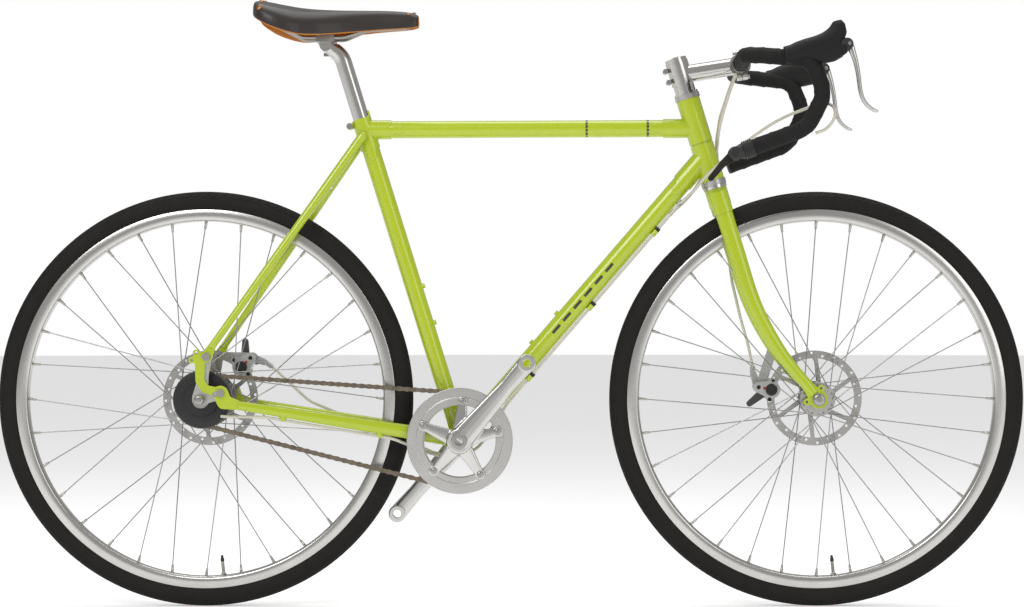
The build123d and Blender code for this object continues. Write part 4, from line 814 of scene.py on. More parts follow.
def forged_bar(vertices, faces, start, end, steps, across, depth, y_middle):
    """A bar of rounded section between two points: across and depth give half sizes along it."""
    along = (end - start).normalized()
    wide = Vector((-along.z, 0, along.x))
    sides = 20
    first = len(vertices)
    for row in range(steps + 1):
        share = row / steps
        centre = start + (end - start) * share
        half_wide, half_deep = across(share), depth(share)
        for n in range(sides):
            turn = 2 * pi * n / sides
            c, s = cos(turn), sin(turn)
            reach = wide * half_wide * abs(c) ** 0.6 * (1 if c >= 0 else -1)
            rise = side * half_deep * abs(s) ** 0.6 * (1 if s >= 0 else -1)
            vertices.append(centre + reach + rise + side * y_middle(share))
    close_tube(faces, first, steps + 1, sides)


def cast_together(name, parts, voxel, smoothing, holes=()):
    """Overlapping closed forms melted into one smooth casting, then drilled."""
    vertices, faces = [], []
    for add in parts:
        add(vertices, faces)
    rough = mesh_object(name + "_rough", vertices, faces)
    tidy = bmesh.new()
    tidy.from_mesh(rough.data)
    bmesh.ops.recalc_face_normals(tidy, faces=tidy.faces)
    tidy.to_mesh(rough.data)
    tidy.free()
    melt = rough.modifiers.new("melt", "REMESH")
    melt.mode = "VOXEL"
    melt.voxel_size = voxel
    melt.use_smooth_shade = True
    soft = rough.modifiers.new("soft", "SMOOTH")
    soft.iterations = smoothing
    cutters = []
    for start, end, radius in holes:
        hole_vertices, hole_faces = [], []
        through = end - start
        lathe(hole_vertices, hole_faces, start, through, [(0, radius), (through.length, radius)], 48)
        cutter = mesh_object(name + "_drill", hole_vertices, hole_faces)
        cut = rough.modifiers.new("drill", "BOOLEAN")
        cut.operation = "DIFFERENCE"
        cut.object = cutter
        cut.solver = "EXACT"
        cutters.append(cutter)
    bpy.context.view_layer.update()
    done = bpy.data.meshes.new_from_object(rough.evaluated_get(bpy.context.evaluated_depsgraph_get()))
    done.name = name
    piece = bpy.data.objects.new(name, done)
    bpy.context.collection.objects.link(piece)
    for leftover in cutters + [rough]:
        bpy.data.objects.remove(leftover)
    return piece


crank_length = 0.170
crank_angle = 49.1
bolt_circle = 0.065
guard_y = -0.0508
crank_y = -0.062
spider_angles = [crank_angle - 35.5 + index * 72 for index in range(5)]
crank_centre = Vector((bottom_bracket.x, 0, bottom_bracket.z))
pedal_reach = Vector((cos(radians(crank_angle)), 0, sin(radians(crank_angle)))) * crank_length


def arm_form(way):
    """One crank arm: broad and deep at the spindle, waisted, then a round eye for the pedal."""
    far = crank_centre + pedal_reach * way

    def across(share):
        return 0.0195 - 0.0068 * min(share / 0.7, 1.0) + 0.0022 * max(0.0, share - 0.7) / 0.3

    def depth(share):
        return 0.0066 - 0.0012 * sin(share * pi)

    def add(vertices, faces):
        out = side * -way
        eye = [(0, 0.0138), (0.001, 0.0148), (0.012, 0.0148), (0.013, 0.0138)]
        boss = [(0, 0.0195), (0.022, 0.0215), (0.0245, 0.0195)]
        forged_bar(vertices, faces, crank_centre, far, 24, across, depth, lambda share: way * crank_y)
        lathe(vertices, faces, far + side * (-way * 0.0555), out, eye, 40)
        lathe(vertices, faces, crank_centre + side * (-way * 0.043), out, boss, 48)
    return add


def spider_form(vertices, faces):
    """Five arms from the drive-side boss out to the ring bolts, thinner towards their ends."""
    for angle in spider_angles:
        foot = crank_centre + plane_vector(cos(radians(angle)), sin(radians(angle))) * bolt_circle
        forged_bar(
            vertices, faces, crank_centre, foot, 16, lambda share: 0.0165 - 0.0095 * share ** 0.8,
            lambda share: 0.0046 - 0.0020 * share, lambda share: -0.0585 + 0.0032 * share,
        )
        lathe(vertices, faces, foot + side * -0.0578, side, [(0, 0.0082), (0.0048, 0.0086)], 32)


crank_alloy = metal_finish(
    "crank_alloy", colour(212, 211, 208), colour(186, 185, 182), (0.14, 0.26),
    bump=0.05, wear=0.5, brushed=(1.0, 1.0, 14.0),
)
pedal_hole = 0.0069
right_eye, left_eye = crank_centre + pedal_reach, crank_centre - pedal_reach
right_holes = [(right_eye + side * -0.08, right_eye + side * -0.04, pedal_hole)]
left_holes = [(left_eye + side * 0.04, left_eye + side * 0.08, pedal_hole)]
right_crank = cast_together("right_crank", [arm_form(1), spider_form], 0.0009, 5, right_holes)
left_crank = cast_together("left_crank", [arm_form(-1)], 0.0009, 5, left_holes)
for piece in (right_crank, left_crank):
    piece.data.materials.clear()
    piece.data.materials.append(crank_alloy)
    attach(piece, "crankset")
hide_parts("crank_arms")
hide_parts("crank_arms")
for way, label in ((-1, "right"), (1, "left")):
    cap = [(-0.002, 0.0128), (0.0, 0.0138), (0.0012, 0.0138), (0.0020, 0.0128), (0.0021, 0.0075)]
    cap += [(0.0009, 0.0068), (0.0006, 0.0040)]
    cap_place = Vector((crank_centre.x, way * 0.0676, crank_centre.z))
    turned_piece(f"crank_cap_{label}", cap_place, side * way, cap, steel, "crankset", 48)

ring_alloy = hoop_finish(
    "ring_alloy", crank_centre, colour(202, 201, 198), colour(178, 176, 172), (0.2, 0.32), 3600.0,
)
finish_nodes(ring_alloy, "chainring", "chain_guard")
bolt_places = []
for angle in spider_angles:
    reach = plane_vector(cos(radians(angle)), sin(radians(angle))) * bolt_circle
    bolt_places.append(crank_centre + reach + side * -0.0598)
screw_heads("ring_bolt_heads", bolt_places, -side, 0.0052, 0.0018, 0.0026, steel, "crankset")
guard_radius = 0.0865
lip = [(-0.0002, -0.0010), (0.0009, -0.0016), (0.0013, 0.0), (0.0009, 0.0014), (-0.0002, 0.0010)]
lip = [(guard_radius + out, guard_y + across) for out, across in lip]
guard_lip = turned_shape("guard_ring_lip", crank_centre, lip)
step_profile = [(0.0700, -0.0014), (0.0704, -0.0021), (0.0722, -0.0021), (0.0728, -0.0014)]
step_profile = [(radius, guard_y + across) for radius, across in step_profile]
guard_step = turned_shape("guard_ring_step", crank_centre, step_profile)
for piece in (guard_lip, guard_step):
    piece.data.materials.append(ring_alloy)
    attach(piece, "crankset")

chain_pitch = 0.0127
ring_teeth, sprocket_teeth = 39, 20
chain_y = -0.045


def chain_path():
    """Even steps round the chain's loop: over the ring, back, round the sprocket and forward."""
    big = chain_pitch / (2 * sin(pi / ring_teeth))
    small = chain_pitch / (2 * sin(pi / sprocket_teeth))
    back = plane_vector(rear_axle.x - bottom_bracket.x, rear_axle.z - bottom_bracket.z)
    distance = back.length
    lean = atan2(back.z, back.x)
    spread = pi / 2 - (big - small) / distance
    run = sqrt(distance ** 2 - (big - small) ** 2)
    big_arc = 2 * pi - 2 * spread
    small_arc = 2 * pi - big_arc
    total = 2 * run + big * big_arc + small * small_arc
    count = 2 * round(total / chain_pitch / 2)
    places = []
    for index in range(count):
        travel = total * index / count
        if travel < big * big_arc:
            turn = lean + spread + travel / big
            places.append(bottom_bracket + plane_vector(cos(turn), sin(turn)) * big)
            continue
        travel -= big * big_arc
        turn_low = lean - spread
        low_start = bottom_bracket + plane_vector(cos(turn_low), sin(turn_low)) * big
        low_end = rear_axle + plane_vector(cos(turn_low), sin(turn_low)) * small
        if travel < run:
            places.append(low_start + (low_end - low_start) * travel / run)
            continue
        travel -= run
        if travel < small * small_arc:
            turn = turn_low + travel / small
            places.append(rear_axle + plane_vector(cos(turn), sin(turn)) * small)
            continue
        travel -= small * small_arc
        turn = lean + spread
        high_start = rear_axle + plane_vector(cos(turn), sin(turn)) * small
        high_end = bottom_bracket + plane_vector(cos(turn), sin(turn)) * big
        places.append(high_start + (high_end - high_start) * travel / run)
    return [Vector((p.x, chain_y, p.z)) for p in places]


def link_plate(vertices, faces, start, end, y_low, y_high, half_height):
    """One figure-of-eight side plate between two pins."""
    along = (end - start).normalized()
    wide = Vector((-along.z, 0, along.x))
    outline = []
    for centre, way in ((start, -1), (end, 1)):
        for step in range(7):
            turn = radians(-90 + step * 30)
            reach = along * way * half_height * cos(turn)
            outline.append((centre + reach, wide * way * half_height * sin(turn)))
        middle = (start + end) / 2
        outline.append((middle, wide * way * half_height * 0.72))
    first = len(vertices)
    for y in (y_low, y_high):
        vertices += [Vector((base.x + rise.x, y, base.z + rise.z)) for base, rise in outline]
    count = len(outline)
    faces.append(tuple(first + n for n in range(count)))
    faces.append(tuple(first + count + n for n in range(count - 1, -1, -1)))
    for n in range(count):
        after = (n + 1) % count
        faces.append((first + n, first + count + n, first + count + after, first + after))


chain_steel = metal_finish(
    "oiled_chain_steel", colour(122, 112, 100), colour(92, 82, 70), (0.32, 0.5),
    grain=2600.0, bump=0.08, wear=0.8, dust=0.4,
)
roller_steps = [(0, 0.0036), (0.0002, 0.0038), (0.0026, 0.0038), (0.0028, 0.0036)]
pin_steps = [(0, 0.0013), (0.0003, 0.0017), (0.0077, 0.0017), (0.0080, 0.0013)]
link_half_height = 0.0041
plates, plate_faces, rollers, roller_faces = [], [], [], []
pins = chain_path()
for index, pin in enumerate(pins):
    after = pins[(index + 1) % len(pins)]
    outer_link = index % 2 == 0
    low, high = (0.0026, 0.0036) if outer_link else (0.0015, 0.0025)
    for way in (-1, 1):
        low_y, high_y = sorted((chain_y + way * low, chain_y + way * high))
        link_plate(plates, plate_faces, pin, after, low_y, high_y, link_half_height)
    lathe(rollers, roller_faces, pin + side * -0.0014, side, roller_steps, 16)
    lathe(rollers, roller_faces, pin + side * -0.0040, side, pin_steps, 12)
links = mesh_object("chain_links", plates, plate_faces, smooth=False)
pins_piece = mesh_object("chain_rollers", rollers, roller_faces)
shade_by_angle(links)
shade_by_angle(pins_piece)
for piece in (links, pins_piece):
    piece.data.materials.append(chain_steel)
    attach(piece, "frame")
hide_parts("chain")
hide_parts("chain")


# ---- Sprocket, its guard disc and the shift pulley ----
# A steel sprocket locked to the geared hub's driver, with a plain moulded black guard disc
# clipped over its face, and the pulley that the gear cable winds round.
finish_nodes(chain_steel, "sprocket")
driver_plastic = hoop_finish(
    "driver_plastic", rear_axle, colour(15, 15, 16), colour(22, 22, 22), (0.35, 0.5), 2600.0, 0.0,
)
finish_nodes(driver_plastic, "shift_pulley")
disc_front = chain_y - 0.0067
disc_profile = [
    (0.0115, -0.0008), (0.0300, -0.0008), (0.0310, 0.0), (0.0465, 0.0),
    (0.0484, 0.0008), (0.0484, 0.0026), (0.0300, 0.0026), (0.0115, 0.0026),
]
disc_profile = [(radius, disc_front + across) for radius, across in disc_profile]
guard_disc = turned_shape("sprocket_guard_disc", rear_axle, disc_profile, 144)
shade_by_angle(guard_disc)
guard_disc.data.materials.append(driver_plastic)
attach(guard_disc, "sprocket")


# ---- Saddle ----
# One thick hide wet-moulded over a block, then stretched between a riveted rear plate and a nose
# plate on steel rails. The grain side is dyed near black; cut edge and flesh side stay honey.
saddle_pivot = seat_cluster + seat_line * 0.152 + Vector((-0.019, 0, -0.004))
# Each station: x, half width, top height and skirt height from the saddle's pivot.
saddle_stations = [
    (-0.1170, 0.0500, 0.0720, 0.0460), (-0.1125, 0.0650, 0.0728, 0.0395), (-0.1040, 0.0740, 0.0730, 0.0340),
    (-0.0920, 0.0800, 0.0712, 0.0265), (-0.0760, 0.0820, 0.0680, 0.0200), (-0.0560, 0.0775, 0.0645, 0.0140),
    (-0.0400, 0.0700, 0.0620, 0.0110), (-0.0200, 0.0560, 0.0604, 0.0118), (0.0000, 0.0440, 0.0595, 0.0140),
    (0.0220, 0.0340, 0.0589, 0.0165), (0.0440, 0.0270, 0.0585, 0.0190), (0.0700, 0.0230, 0.0583, 0.0215),
    (0.0950, 0.0200, 0.0580, 0.0240), (0.1200, 0.0184, 0.0570, 0.0256), (0.1400, 0.0170, 0.0550, 0.0270),
    (0.1500, 0.0140, 0.0522, 0.0288), (0.1550, 0.0105, 0.0490, 0.0312),
]
hide_thickness = 0.0045


def hide_shell():
    """The moulded hide: a crowned top that turns down into skirts, with a real wall."""
    ribs = 36
    outer, inner = [], []
    for x, half, top, skirt in saddle_stations:
        tall = top - skirt
        near_nose = max(0.0, (x - 0.10) / 0.055)
        for rib in range(ribs + 1):
            turn = radians(-90 + 180 * rib / ribs)
            across = abs(sin(turn)) ** (0.92 - 0.12 * near_nose) * (1 if turn >= 0 else -1)
            rise = max(0.0, cos(turn)) ** 0.62
            sag = 0.0016 * max(0.0, 1 - abs(across) * 2.2) * max(0.0, 1 - abs(x + 0.02) / 0.11)
            flare = 1.0 + 0.012 * max(0.0, 0.25 - rise)
            point = Vector((x, half * across * flare, skirt + tall * rise - sag))
            outer.append(saddle_pivot + point)
            shrink = (half - hide_thickness) / half
            low_in = skirt + 0.0008 + (tall - hide_thickness - 0.0008) * rise
            inner_height = min(low_in, skirt + tall * rise - 0.0012) - sag
            inner.append(saddle_pivot + Vector((x, half * across * shrink * flare, inner_height)))
    wide = ribs + 1
    count = len(outer)
    rows = len(saddle_stations)
    faces = []
    for row in range(rows - 1):
        for rib in range(ribs):
            a = row * wide + rib
            faces.append((a, a + wide, a + wide + 1, a + 1))
            faces.append((count + a, count + a + 1, count + a + wide + 1, count + a + wide))
    edge = sheet_edge(rows, ribs)
    for a, b in zip(edge, edge[1:] + edge[:1]):
        faces.append((a, b, count + b, count + a))
    return outer + inner, faces


def leather_finish(name, base, second, worn, roughness, bump):
    """Vegetable-tanned hide: pebbled grain and fine creases."""
    material, tree, shader = new_finish(name, base, roughness[0])
    coordinates = tree.nodes.new("ShaderNodeTexCoord").outputs["Object"]
    cells = tree.nodes.new("ShaderNodeTexVoronoi")
    cells.feature = "DISTANCE_TO_EDGE"
    cells.inputs["Scale"].default_value = 620.0
    tree.links.new(coordinates, cells.inputs["Vector"])
    creases = noise_node(tree, 190.0, 7.0, 0.65, coordinates)
    slow = noise_node(tree, 22.0, 5.0, 0.6, coordinates)
    edges = placed(tree, edge_wear, Amount=0.6, Scale=240.0)
    film = placed(tree, settled_dust, Amount=0.02)
    tone = mixed(tree, slow, base, second)
    tone = mixed(tree, edges.outputs["Mask"], tone, worn)
    tone = mixed(tree, film.outputs["Mask"], tone, colour(120, 110, 96))
    tree.links.new(tone, shader.inputs["Base Color"])
    tree.links.new(ranged(tree, creases, roughness[0], roughness[1]), shader.inputs["Roughness"])
    pebble = math_node(tree, "MULTIPLY", cells.outputs["Distance"], 2.2, clamp=True)
    bumped(tree, shader, math_node(tree, "ADD", pebble, creases), bump, 0.0004)
    return material, shader


dark_leather, dark_shader = leather_finish(
    "dark_leather", colour(24, 18, 15), colour(36, 27, 21), colour(84, 52, 28), (0.34, 0.5), 0.3,
)
dark_shader.inputs["Coat Weight"].default_value = 0.15
honey_leather, _ = leather_finish(
    "honey_leather", colour(196, 126, 40), colour(168, 98, 30), colour(214, 154, 70), (0.5, 0.68), 0.35,
)
hide_vertices, hide_faces = hide_shell()
hide = mesh_object("saddle_hide", hide_vertices, hide_faces)
hide.data.materials.append(dark_leather)
hide.data.materials.append(honey_leather)
outer_count = len(hide_vertices) // 2
for polygon in hide.data.polygons:
    polygon.material_index = 0 if all(v < outer_count for v in polygon.vertices) else 1
rounded = hide.modifiers.new("rounded", "SUBSURF")
rounded.levels = rounded.render_levels = 2
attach(hide, "saddle")
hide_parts("saddle_leather")

saddle_steel = metal_finish("saddle_steel", colour(168, 166, 162), colour(138, 134, 128), (0.24, 0.38))
copper = metal_finish("rivet_copper", colour(196, 142, 98), colour(160, 108, 70), (0.28, 0.42))
finish_nodes(saddle_steel, "saddle_rails", "saddle_clamp", "saddle_plates")


def rivet_heads():
    """Flat-domed rivets through the hide over the rear plate and over the nose."""
    vertices, faces = [], []
    rear_rivet = [(0, 0.0048), (0.0012, 0.0047), (0.0019, 0.0038), (0.0022, 0.0018)]
    nose_rivet = [(0, 0.0034), (0.0012, 0.0033), (0.0018, 0.0026), (0.0020, 0.0012)]
    x, half, top, skirt = saddle_stations[2]
    for angle in (-66, -33, 0, 33, 66):
        turn = radians(angle)
        across = abs(sin(turn)) ** 0.92 * (1 if turn >= 0 else -1)
        y, z = half * across, (top - skirt) * max(0.0, cos(turn)) ** 0.62
        normal = Vector((-0.25, y / half ** 2 * 0.06, z / (top - skirt) ** 2 * 0.03)).normalized()
        place = saddle_pivot + Vector((x, y, skirt + z)) - normal * 0.0008
        lathe(vertices, faces, place, normal, rear_rivet, 24)
    for x, y, z in ((0.138, 0.0105, 0.0505), (0.138, -0.0105, 0.0505), (0.147, 0.0, 0.0535)):
        place = saddle_pivot + Vector((x, y, z))
        lathe(vertices, faces, place, Vector((0.2, y * 30, 1)), nose_rivet, 20)
    return vertices, faces


rivet_vertices, rivet_faces = rivet_heads()
saddle_rivets = mesh_object("saddle_rivets", rivet_vertices, rivet_faces)
saddle_rivets.data.materials.append(copper)
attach(saddle_rivets, "saddle")


# ---- Handlebar tape ----
# A bent alloy drop bar wrapped from its ends up with cork tape. Each turn overlaps the last, so
# the wrap shows a slanted step at every turn, and it is closed near the stem by a plain band.
stem_height = 0.012 + 0.014 + 0.040 * 0.42
stem_rise = radians(9)
stem_reach = 0.100
stem_line = Vector((cos(stem_rise), 0, sin(stem_rise)))
bar_centre = head_top + head_line * stem_height + stem_line * stem_reach
bar_route = [
    (0.0, -0.036, 0.0), (0.0, -0.1932, 0.0), (0.103, -0.206, -0.0095),
    (0.124, -0.209, -0.0645), (0.096, -0.211, -0.119), (-0.006, -0.212, -0.156),
]
bar_bends = [0.038, 0.030, 0.042, 0.042]
tape_radius = 0.0139


def rounded_route(points, radii, spacing=0.0016):
    """Even points along straight runs joined by arcs of the given radii."""
    places = [Vector(points[0])]
    for before, corner, after, radius in zip(points, points[1:], points[2:], radii):
        before, corner, after = Vector(before), Vector(corner), Vector(after)
        into, out = (corner - before).normalized(), (after - corner).normalized()
        turn = into.angle(out)
        back = radius * tan(turn / 2)
        centre = corner + (out - into).normalized() * (radius / cos(turn / 2))
        start = corner - into * back
        for step in range(13):
            share = step / 12
            axis = into.cross(out).normalized()
            places.append(centre + Matrix.Rotation(turn * share, 3, axis) @ (start - centre))
    places.append(Vector(points[-1]))
    even = [places[0]]
    left = spacing
    for a, b in zip(places, places[1:]):
        length = (b - a).length
        travel = left
        while travel < length:
            even.append(a + (b - a) * travel / length)
            travel += spacing
        left = travel - length
    even.append(places[-1])
    return even


def tube_mesh(name, path, radius_at, sides):
    """A tube round a path; radius_at(distance, turn) gives its radius, so it can carry relief."""
    vertices, faces = [], []
    across = (path[1] - path[0]).normalized().orthogonal().normalized()
    travel = 0.0
    for index, place in enumerate(path):
        ahead = path[min(index + 1, len(path) - 1)] - path[max(index - 1, 0)]
        along = ahead.normalized()
        across = (across - along * across.dot(along)).normalized()
        other = along.cross(across)
        if index:
            travel += (place - path[index - 1]).length
        for n in range(sides):
            turn = 2 * pi * n / sides
            reach = radius_at(travel, turn)
            vertices.append(place + across * reach * cos(turn) + other * reach * sin(turn))
    close_tube(faces, 0, len(path), sides)
    return mesh_object(name, vertices, faces)


def tape_relief(travel, turn):
    """Each turn of tape rises to a soft step where the next one laps over it."""
    lap = 0.0235
    place = (travel / lap + turn / (2 * pi)) % 1.0
    step = place ** 3 * 0.0009
    return tape_radius - 0.0011 + step + 0.00012 * sin(turn * 3 + travel * 190)


tape_cork, tape_tree, tape_shader = wear_finish(
    "cork_tape", colour(15, 15, 15), colour(23, 22, 22), colour(44, 42, 40), (0.62, 0.8),
    grain=420.0, bump=0.4, wear=0.2, dust=0.05,
)
tape_shader.inputs["Specular IOR Level"].default_value = 0.25
flecks = tape_tree.nodes.new("ShaderNodeTexVoronoi")
flecks.inputs["Scale"].default_value = 330.0
tape_tree.links.new(tape_tree.nodes.new("ShaderNodeTexCoord").outputs["Object"], flecks.inputs["Vector"])
bumped(tape_tree, tape_shader, flecks.outputs["Distance"], 0.35, 0.0003)
for way, label in ((1, "right"), (-1, "left")):
    points = [bar_centre + Vector((x, y * way, z)) for x, y, z in bar_route]
    path = rounded_route(points, bar_bends)
    wrap = tube_mesh(f"bar_tape_{label}", path, tape_relief, 32)
    wrap.data.materials.append(tape_cork)
    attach(wrap, "fork")
    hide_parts("bar_tape")
    band_start = bar_centre + Vector((0, -0.0352 * way, 0))
    band = [(0, 0.0132), (0.0006, 0.0141), (0.0105, 0.0141), (0.0112, 0.0132)]
    turned_piece(
        f"tape_end_band_{label}", band_start, side * -way, band, black_plastic, "fork", 40,
    )


# ---- Brake hoods ----
# Moulded rubber boots stretched over the lever bodies: a broad saddle for the palm, a raised horn
# at the front and a soft lip that folds down on to the bar tape.
hood_reach = 0.208


# Each ring of a hood or a blade: x, height and two half widths, from the bar or the pivot.
def hood_form(way):
    """Closed overlapping forms for one hood, melted into one smooth skin."""
    def add(vertices, faces):
        spine = [
            (0.060, -0.0035, 0.0142, 0.0142), (0.072, -0.0015, 0.0146, 0.0152),
            (0.082, 0.002, 0.0150, 0.0166), (0.096, 0.006, 0.0157, 0.0176),
            (0.112, 0.010, 0.0155, 0.0180), (0.128, 0.016, 0.0152, 0.0186),
            (0.140, 0.026, 0.0146, 0.0176), (0.145, 0.037, 0.0136, 0.0150),
            (0.145, 0.046, 0.0118, 0.0116), (0.1435, 0.052, 0.0072, 0.0070),
        ]
        body = [
            (0.100, 0.002, 0.0150, 0.0150), (0.118, -0.001, 0.0153, 0.0168), (0.136, 0.003, 0.0150, 0.0168),
            (0.150, 0.007, 0.0140, 0.0130), (0.159, 0.009, 0.0118, 0.0090),
        ]
        for line in (spine, body):
            first = len(vertices)
            sides = 24
            for index, (x, z, half_y, half_z) in enumerate(line):
                up = square_to(line, index)
                place = bar_centre + Vector((x, -hood_reach * way, z))
                for n in range(sides):
                    turn = 2 * pi * n / sides
                    vertices.append(place + up * half_z * cos(turn) + side * half_y * sin(turn))
            close_tube(faces, first, len(line), sides)
    return add


def square_to(line, index):
    """The direction square to a line of (x, z) rings at one of them."""
    before, after = line[max(index - 1, 0)], line[min(index + 1, len(line) - 1)]
    along = Vector((after[0] - before[0], 0, after[1] - before[1])).normalized()
    return Vector((-along.z, 0, along.x))


def lever_pivot(way):
    """Where a lever's pin crosses its hood."""
    return bar_centre + Vector((0.163, -hood_reach * way, 0.015))


hood_rubber, _, hood_shader = wear_finish(
    "hood_rubber", colour(14, 14, 15), colour(20, 20, 20), colour(40, 38, 37), (0.5, 0.66),
    grain=1300.0, bump=0.22, wear=0.2, dust=0.04,
)
hood_shader.inputs["Specular IOR Level"].default_value = 0.25
for way, label in ((1, "right"), (-1, "left")):
    pivot = lever_pivot(way)
    half_slot = 0.0058
    slots = []
    for x, z, radius in ((0.0, 0.0, 0.0105), (0.001, -0.014, 0.0105), (-0.001, -0.026, 0.0110)):
        slots.append((pivot + Vector((x, -half_slot, z)), pivot + Vector((x, half_slot, z)), radius))
    boot = cast_together(f"brake_hood_{label}", [hood_form(way)], 0.0014, 8, slots)
    boot.data.materials.clear()
    boot.data.materials.append(hood_rubber)
    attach(boot, "fork")
    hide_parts("brake_hoods")
    bracket = [(0, 0.0092), (0.0004, 0.0100), (0.0036, 0.0100), (0.0046, 0.0090)]
    for face, where in ((-1, "outer"), (1, "inner")):
        turned_piece(
            f"lever_bracket_{label}_{where}", pivot + side * face * 0.0062 - Vector((0.004, 0, 0.001)),
            side * face, bracket, black_plastic, "fork", 40,
        )
    pin_steps = [(0, 0.0024), (0.0003, 0.0028), (0.0229, 0.0028), (0.0232, 0.0024)]
    turned_piece(f"lever_pin_{label}", pivot + side * -0.0116, side, pin_steps, steel, "fork", 24)


# ---- Brake levers ----
# Forged alloy blades, polished in front and hollowed behind. Each hangs from a steel pin in its
# hood and flicks forward at its tip.
def lever_form(way):
    """A lever blade of rounded section: deep at its pivot, slim at the waist, wider at the tip."""
    line = [
        (0.000, 0.002, 0.0072, 0.0046), (0.006, -0.012, 0.0062, 0.0046),
        (0.0105, -0.026, 0.0050, 0.0046), (0.014, -0.042, 0.0044, 0.0047),
        (0.0162, -0.058, 0.0042, 0.0048), (0.0178, -0.074, 0.0041, 0.0049),
        (0.0215, -0.088, 0.0040, 0.0049), (0.0290, -0.0985, 0.0039, 0.0047),
        (0.0385, -0.1052, 0.0036, 0.0042), (0.0440, -0.1075, 0.0026, 0.0032),
        (0.0462, -0.1082, 0.0010, 0.0014),
    ]
    sides = 20
    vertices, faces = [], []
    for index, (x, z, half_x, half_y) in enumerate(line):
        out = square_to(line, index)
        place = lever_pivot(way) + Vector((x, 0, z))
        for n in range(sides):
            turn = 2 * pi * n / sides
            c, s = cos(turn), sin(turn)
            hollow = 0.72 if c < -0.3 and 0 < index < 9 else 1.0
            reach = out * -half_x * c * hollow
            vertices.append(place + reach + side * half_y * abs(s) ** 0.75 * (1 if s >= 0 else -1))
    close_tube(faces, 0, len(line), sides)
    return vertices, faces


lever_alloy = metal_finish(
    "lever_alloy", colour(208, 207, 204), colour(184, 182, 179), (0.16, 0.28), wear=0.5,
)
for way, label in ((1, "right"), (-1, "left")):
    vertices, faces = lever_form(way)
    blade = mesh_object(f"{label}_lever_blade", vertices, faces)
    rounded = blade.modifiers.new("rounded", "SUBSURF")
    rounded.levels = rounded.render_levels = 2
    blade.data.materials.append(lever_alloy)
    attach(blade, f"{label}_brake_lever")
    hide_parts(f"{label}_brake_lever")


# ---- Bar-end shifter and plug ----
# The shifter is a black moulded housing in the right bar end with a short thumb lever on a steel
# pin. The left end is closed by a pushed-in plug.
finish_nodes(black_plastic, "bar_ends")
finish_nodes(black_steel, "shift_lever")
shift_pivot = bar_centre + Vector((-0.0195, -0.212, -0.1605))
cover = [(0, 0.0100), (0.0006, 0.0108), (0.0022, 0.0102), (0.0030, 0.0080), (0.0031, 0.0046)]
cover.append((0.0022, 0.0042))
for face, where in ((-1, "outer"), (1, "inner")):
    turned_piece(
        f"shifter_cover_{where}", shift_pivot + side * face * 0.0119, side * face, cover,
        black_plastic, "fork", 40,
    )
grip_start = bar_centre + Vector((0.010, -0.212, -0.1502))
grip_along = (Vector((-0.006, 0, -0.156)) - Vector((0.096, 0, -0.119))).normalized()
collar = []
for rib in range(5):
    foot = rib * 0.0034
    collar += [(foot, 0.0139), (foot + 0.0005, 0.0148), (foot + 0.0022, 0.0148), (foot + 0.0027, 0.0139)]
turned_piece(
    "shifter_collar", grip_start, grip_along, collar, black_plastic, "fork", 40,
)


# ---- Disc calipers ----
# Cast and painted silver caliper halves bolted together over the disc, with black adjuster knobs,
# small red pad keys, a steel arm pulled by the cable, and a knurled barrel adjuster.
caliper_paint, _, _ = wear_finish(
    "caliper_paint", colour(186, 186, 186), colour(160, 160, 160), colour(206, 204, 200), (0.32, 0.48),
    metallic=0.85, grain=1000.0, bump=0.2, wear=0.4, dust=0.2,
)
arm_steel = metal_finish("arm_steel", colour(92, 91, 90), colour(70, 69, 67), (0.3, 0.44))
finish_nodes(caliper_paint, "front_caliper", "rear_caliper")
finish_nodes(arm_steel, "front_brake_arm", "rear_brake_arm")
key_red, _, _ = wear_finish(
    "key_red", colour(168, 26, 22), colour(140, 20, 18), colour(196, 80, 70), (0.35, 0.5), dust=0.1,
)
knob = [(0, 0.0050)]
for rib in range(6):
    knob += [(0.001 + rib * 0.0011, 0.0056), (0.0015 + rib * 0.0011, 0.0052)]
knob += [(0.0082, 0.0054), (0.0090, 0.0046), (0.0093, 0.0030)]
dial = [(-0.0004, 0.0098), (0.0006, 0.0102), (0.0016, 0.0096), (0.0018, 0.0070), (0.0010, 0.0066)]
dial.append((0.0009, 0.0034))
key = [(-0.0002, 0.0022), (0.0014, 0.0024), (0.0022, 0.0018), (0.0024, 0.0008)]
for label, axle, disc_y, angle, body in (
    ("rear", rear_axle, 0.0475, 44.7, "frame"), ("front", front_axle, 0.0345, 169.0, "fork"),
):
    place = wheel_turn(axle, 0.074, angle, 0)
    back = wheel_turn(axle, 0.096, angle, 0)
    across = Vector((cos(radians(angle + 90)), 0, sin(radians(angle + 90)))) * 0.017
    high = disc_y + 0.022
    low = disc_y - 0.008
    for number, centre in enumerate((place - across * 0.75, back - across * 0.53)):
        turned_piece(
            f"{label}_caliper_knob_{number + 1}", Vector((centre.x, high + 0.0002, centre.z)), side, knob,
            black_plastic, body, 18,
        )
    inner_face = Vector((place.x, low, place.z))
    turned_piece(f"{label}_caliper_dial", inner_face, -side, dial, black_plastic, body, 36)
    spots = []
    for spot in (place + across * 0.98, place - across * 0.98, back):
        spots.append(Vector((spot.x, low - 0.0001, spot.z)))
    screw_heads(
        f"{label}_caliper_screws", spots, -side, 0.0034, 0.0022, 0.0017, black_steel, body,
    )
    key_place = wheel_turn(axle, 0.086, angle, low)
    turned_piece(f"{label}_caliper_key", key_place, -side, key, key_red, body, 16)


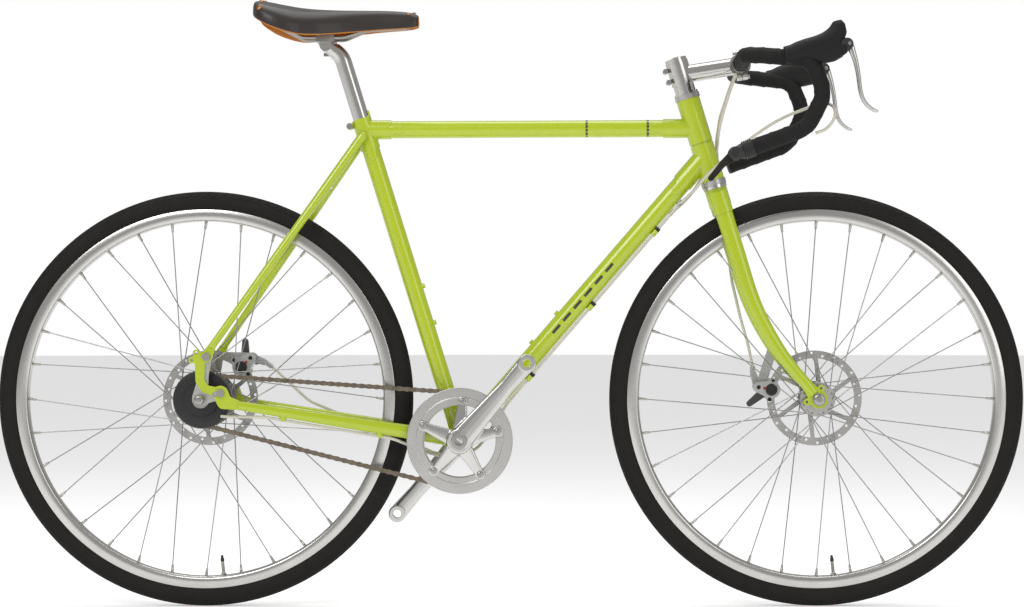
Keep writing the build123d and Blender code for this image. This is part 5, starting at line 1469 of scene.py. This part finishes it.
# ---- Cables and clips ----
# Pale plastic housings over wound steel, run in one length between stops and held at brazed
# guides by small black clips. Each ends in a plated ferrule.
housing, _, housing_shader = wear_finish(
    "cable_housing", colour(206, 202, 188), colour(186, 181, 166), colour(222, 218, 206), (0.3, 0.42),
    bump=0.06, wear=0.2, dust=0.25,
)
housing_shader.inputs["Coat Weight"].default_value = 0.25
finish_nodes(housing, "frame_cables", "front_brake_cable")
under_line = Vector((down_line.z, 0, -down_line.x))
cable_offset = down_radius + 0.0035
cable_radius = 0.0025


def on_down_tube(along, offset, y):
    """A place under the down tube, so far up it, off its middle line and to one side."""
    return bottom_bracket + down_line * along + under_line * offset + side * y


# Each loop starts at the bar and ends in two points under the down tube.
brake_turns = (
    (-0.007, -0.031, -0.0155), (-0.016, -0.030, -0.040), (-0.028, -0.022, -0.078),
    (-0.036, -0.006, -0.112), (-0.036, 0.018, -0.140), (-0.052, 0.029, -0.172),
)
brake_loop = [bar_centre + Vector(point) for point in brake_turns]
brake_loop += [on_down_tube(0.559, cable_offset + 0.005, 0.017), on_down_tube(0.5164, cable_offset, 0.007)]
gear_turns = (
    (0.013, -0.002, -0.009), (0.030, -0.003, -0.003), (0.044, -0.003, 0.014), (0.045, 0.007, 0.034),
    (0.028, 0.023, 0.043), (0.000, 0.033, 0.033), (-0.026, 0.050, 0.024), (-0.050, 0.084, 0.013),
    (-0.084, 0.136, -0.009), (-0.124, 0.168, -0.040), (-0.156, 0.182, -0.070),
)
hook_low = Vector((0.096, -0.211, -0.119))
gear_loop = [bar_centre + (hook_low + Vector(point)) for point in gear_turns]
gear_loop += [on_down_tube(0.565, cable_offset + 0.004, -0.020), on_down_tube(0.5364, cable_offset, -0.007)]


def loop_radii(points):
    """The largest bend radius that each corner of a route has room for."""
    radii = []
    for before, corner, after in zip(points, points[1:], points[2:]):
        turn = (corner - before).angle(after - corner)
        radii.append(0.45 * min((corner - before).length, (after - corner).length) / tan(turn / 2))
    return radii


for label, points in (("rear_brake_loop", brake_loop), ("gear_loop", gear_loop)):
    path = rounded_route(points, loop_radii(points), 0.003)
    loop = tube_mesh(label, path, lambda travel, turn: cable_radius, 14)
    loop.data.materials.append(housing)
    tuple(points[-4])
    tuple(points[-1])
    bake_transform(loop)
    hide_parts("steering_cables")


# A plated end cap stands where each housing meets its stop.
ferrule = [(-0.0085, 0.0027), (-0.0080, 0.0031), (0.0, 0.0031), (0.0004, 0.0034), (0.0020, 0.0034)]
ferrule.append((0.0024, 0.0028))
for label, along, y in (("gear", 0.535, -0.007), ("rear_brake", 0.515, 0.007)):
    stop = on_down_tube(along, cable_offset, y)
    turned_piece(f"{label}_ferrule", stop, down_line * -1, ferrule, steel, "frame", 20)

# A black band with a waist snaps over each guide and its cable.
clip = [(-0.0030, 0.0040), (-0.0027, 0.0044), (-0.0004, 0.0044), (0.0, 0.0038)]
clip += [(0.0004, 0.0044), (0.0027, 0.0044), (0.0030, 0.0040)]
for number, along in enumerate((0.480, 0.316, 0.160)):
    for y, label in ((-0.007, "gear"), (0.007, "brake")):
        guide = on_down_tube(along, cable_offset, y)
        turned_piece(
            f"{label}_clip_{number + 1}", guide, down_line, clip, black_plastic, "frame",
            24,
        )
